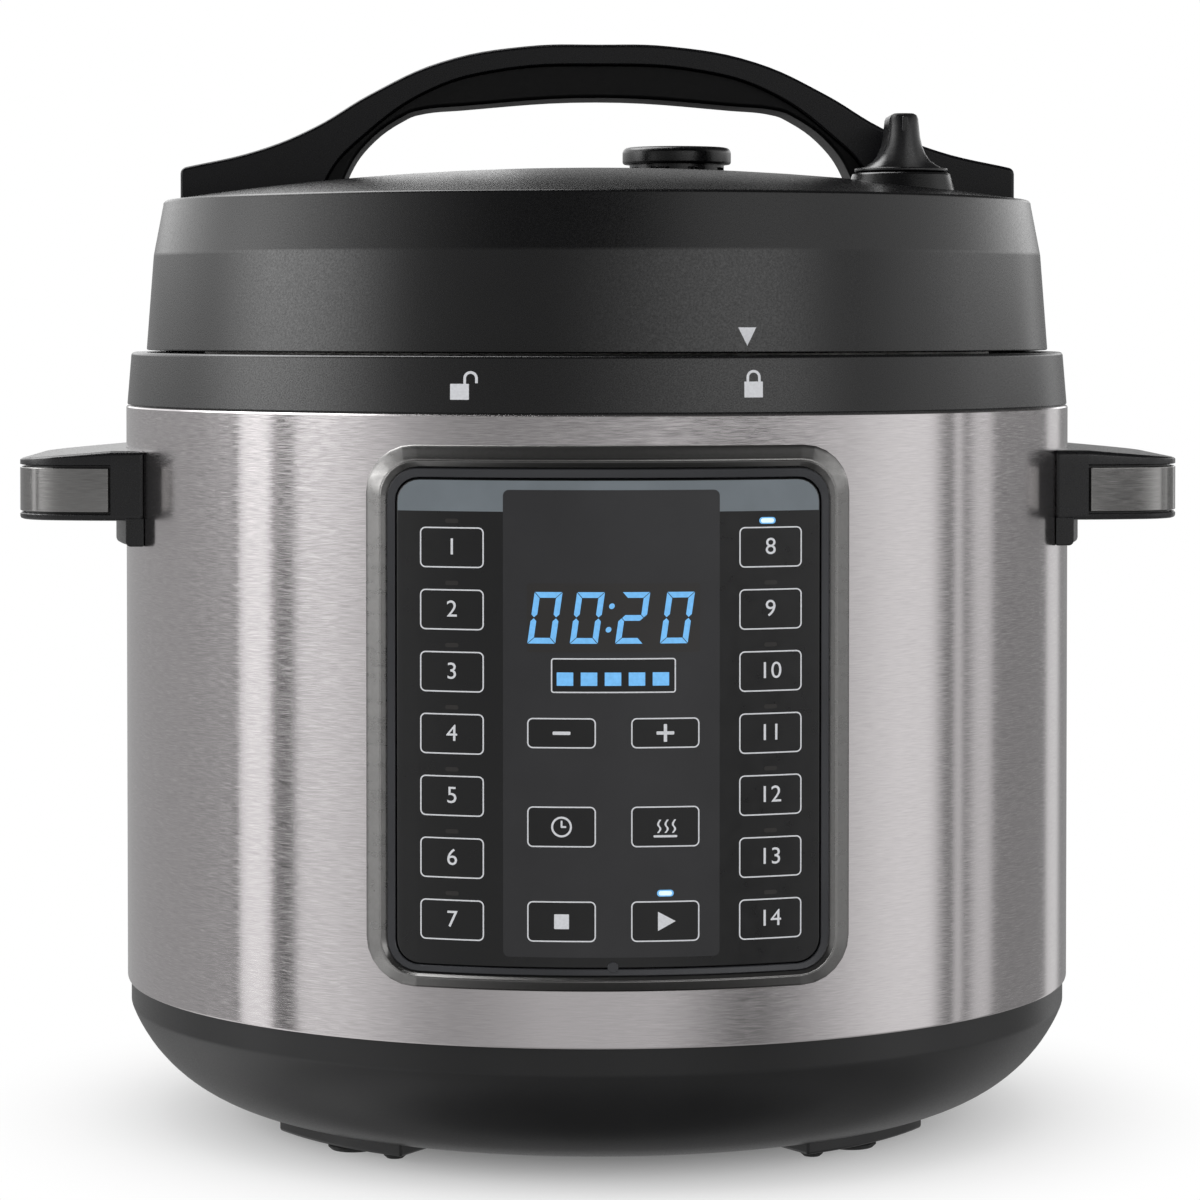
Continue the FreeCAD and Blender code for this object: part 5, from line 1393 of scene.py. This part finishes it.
class StageOperator(bpy.types.Operator):
    """Floor, soft lights, surround and camera"""
    bl_idname = "cooker.stage"
    bl_label = "Stage"

    def execute(self, context):
        self.floor()
        self.lights()
        self.surround()
        self.camera()
        context.scene.view_settings.view_transform = "Standard"
        return {"FINISHED"}

    def floor(self):
        bm = bmesh.new()
        bmesh.ops.create_circle(bm, cap_ends=True, segments=96, radius=FLOOR_R)
        floor = new_object("floor", mesh_of(bm, "floor"))
        floor.visible_glossy = False
        sockets = {"Base Color": colours().floor, "Roughness": 0.9, "Specular IOR Level": 0.1}
        material, tree, shader = new_material("studio_floor", sockets)
        reach = add_node(tree, "VectorMath", {0: place(tree)}, operation="LENGTH").outputs["Value"]
        far = fade_in(tree, reach, SHADOW_FULL, SHADOW_GONE, interpolation_type="SMOOTHSTEP")
        white = add_node(tree, "Emission", {"Color": WHITE, "Strength": 1.0}).outputs["Emission"]
        both = add_node(tree, "MixShader", {0: far, 1: shader.outputs["BSDF"], 2: white}).outputs["Shader"]
        tree.links.new(both, tree.nodes["Material Output"].inputs["Surface"])
        floor.data.materials.append(material)

    def lights(self):
        self.softbox("left_light", (-80, 24, 2.2), 1.1, stage().left_power)
        self.softbox("right_light", (42, 24, 2.2), 1.1, stage().right_power)
        self.softbox("top_light", (0, 88, 2.0), 1.8, stage().top_power)

    def softbox(self, name, spot, size, power):
        """Square light at an angle from the front, a height angle and a distance, turned to the body."""
        angle, height, distance = math.radians(spot[0]), math.radians(spot[1]), spot[2]
        light = bpy.data.lights.new(name, "AREA")
        light.shape, light.size, light.energy = "SQUARE", size, power
        lamp = new_object(name, light)
        flat = math.cos(height)
        way = Vector((math.sin(angle) * flat, -math.cos(angle) * flat, math.sin(height)))
        lamp.location = way * distance + AIM
        lamp.rotation_euler = (-way).to_track_quat("-Z", "Y").to_euler()
        lamp.visible_camera = lamp.visible_glossy = False

    def surround(self):
        world = bpy.data.worlds.new("studio")
        bpy.context.scene.world = world
        world.use_nodes = True
        tree = world.node_tree
        tree.nodes.clear()
        coords = add_node(tree, "TexCoord", {}).outputs["Generated"]
        split = add_node(tree, "SeparateXYZ", {"Vector": coords}).outputs
        height, ahead = split["Z"], calc(tree, "MULTIPLY", split["Y"], -1.0)
        angle = calc(tree, "DEGREES", calc(tree, "ARCTAN2", split["X"], ahead))
        around = DARK_ROOM
        for left, right, (low, high), brightness in PANELS.values():
            lit = brightness
            for spot, edge in ((angle, left), (angle, right), (height, low), (height, high)):
                share = fade_in(tree, spot, *edge, interpolation_type="SMOOTHSTEP")
                lit = calc(tree, "MULTIPLY", share, lit)
            around = calc(tree, "ADD", lit, around)
        shade = add_node(tree, "ValToRGB", {"Fac": fade_in(tree, height, -1.0, 1.0)})
        self.fill_ramp(shade.color_ramp, [(sine / 2 + 0.5, share) for sine, share in HEIGHTS])
        walls = add_node(tree, "VectorMath", {0: around, 1: shade.outputs["Color"]}, operation="MULTIPLY")
        fill, white, studio = (add_node(tree, "Background", {"Color": tint, "Strength": strength}).outputs[0]
                               for tint, strength in ((WHITE, stage().fill), (WHITE, 1.0),
                                                      (walls.outputs["Vector"], 1.0)))
        path = add_node(tree, "LightPath", {}).outputs
        seen = calc(tree, "MAXIMUM", path["Is Camera Ray"], path["Is Transmission Ray"])
        shiny = add_node(tree, "MixShader", {0: path["Is Glossy Ray"], 1: fill, 2: studio}).outputs["Shader"]
        whole = add_node(tree, "MixShader", {0: seen, 1: shiny, 2: white}).outputs["Shader"]
        add_node(tree, "OutputWorld", {"Surface": whole})

    def fill_ramp(self, ramp, stops):
        """Give a ramp grey stops, as (position, level) from left to right."""
        ramp.interpolation = "EASE"
        ramp.elements.remove(ramp.elements[1])
        ramp.elements[0].position = stops[0][0]
        for position, _ in stops[1:]:
            ramp.elements.new(position)
        for element, (_, level) in zip(ramp.elements, stops):
            element.color = (level, level, level, 1.0)

    def camera(self):
        lens = bpy.data.cameras.new("camera")
        lens.lens, lens.sensor_width = stage().lens, SENSOR_WIDTH
        lens.shift_x, lens.shift_y = stage().frame_right, -stage().frame_drop
        eye = new_object("camera", lens)
        turn = stage().eye_turn
        eye.location = (-stage().eye_distance * math.sin(turn), -stage().eye_distance * math.cos(turn),
                        stage().eye_height)
        eye.rotation_euler = (math.radians(90) - stage().eye_tilt, 0.0, -turn)
        bpy.context.scene.camera = eye


# Sidebar and registration

STEPS = (BaseOperator, BodyWrapOperator, CollarOperator, PanelOperator, PanelPrintOperator,
         SideHandlesOperator, BackFittingsOperator, VesselOperator, ElectronicsOperator, LidOperator,
         LidHandleOperator, SteamReleaseOperator, StageOperator)


class CookerPanel(bpy.types.Panel):
    """Lists the steps of the build"""
    bl_idname = "VIEW3D_PT_cooker"
    bl_label = "Multi-cooker"
    bl_space_type = "VIEW_3D"
    bl_region_type = "UI"
    bl_category = "Cooker"

    def draw(self, context):
        for step in STEPS:
            self.layout.operator(step.bl_idname)


CLASSES = (CookerSizes, CookerColours, CookerStage, *STEPS, CookerPanel)


def register():
    for cls in CLASSES:
        bpy.utils.register_class(cls)
    bpy.types.Scene.cooker_sizes = PointerProperty(type=CookerSizes)
    bpy.types.Scene.cooker_colours = PointerProperty(type=CookerColours)
    bpy.types.Scene.cooker_stage = PointerProperty(type=CookerStage)


def unregister():
    del bpy.types.Scene.cooker_sizes, bpy.types.Scene.cooker_colours, bpy.types.Scene.cooker_stage
    for cls in reversed(CLASSES):
        bpy.utils.unregister_class(cls)


def main():
    register()
    bpy.ops.cooker.base()
    bpy.ops.cooker.body_wrap()
    bpy.ops.cooker.collar()
    bpy.ops.cooker.panel()
    bpy.ops.cooker.panel_print()
    bpy.ops.cooker.side_handles()
    bpy.ops.cooker.back_fittings()
    bpy.ops.cooker.vessel()
    bpy.ops.cooker.electronics()
    bpy.ops.cooker.lid()
    bpy.ops.cooker.lid_handle()
    bpy.ops.cooker.steam_release()
    bpy.ops.cooker.stage()


if __name__ == "__main__":
    main()
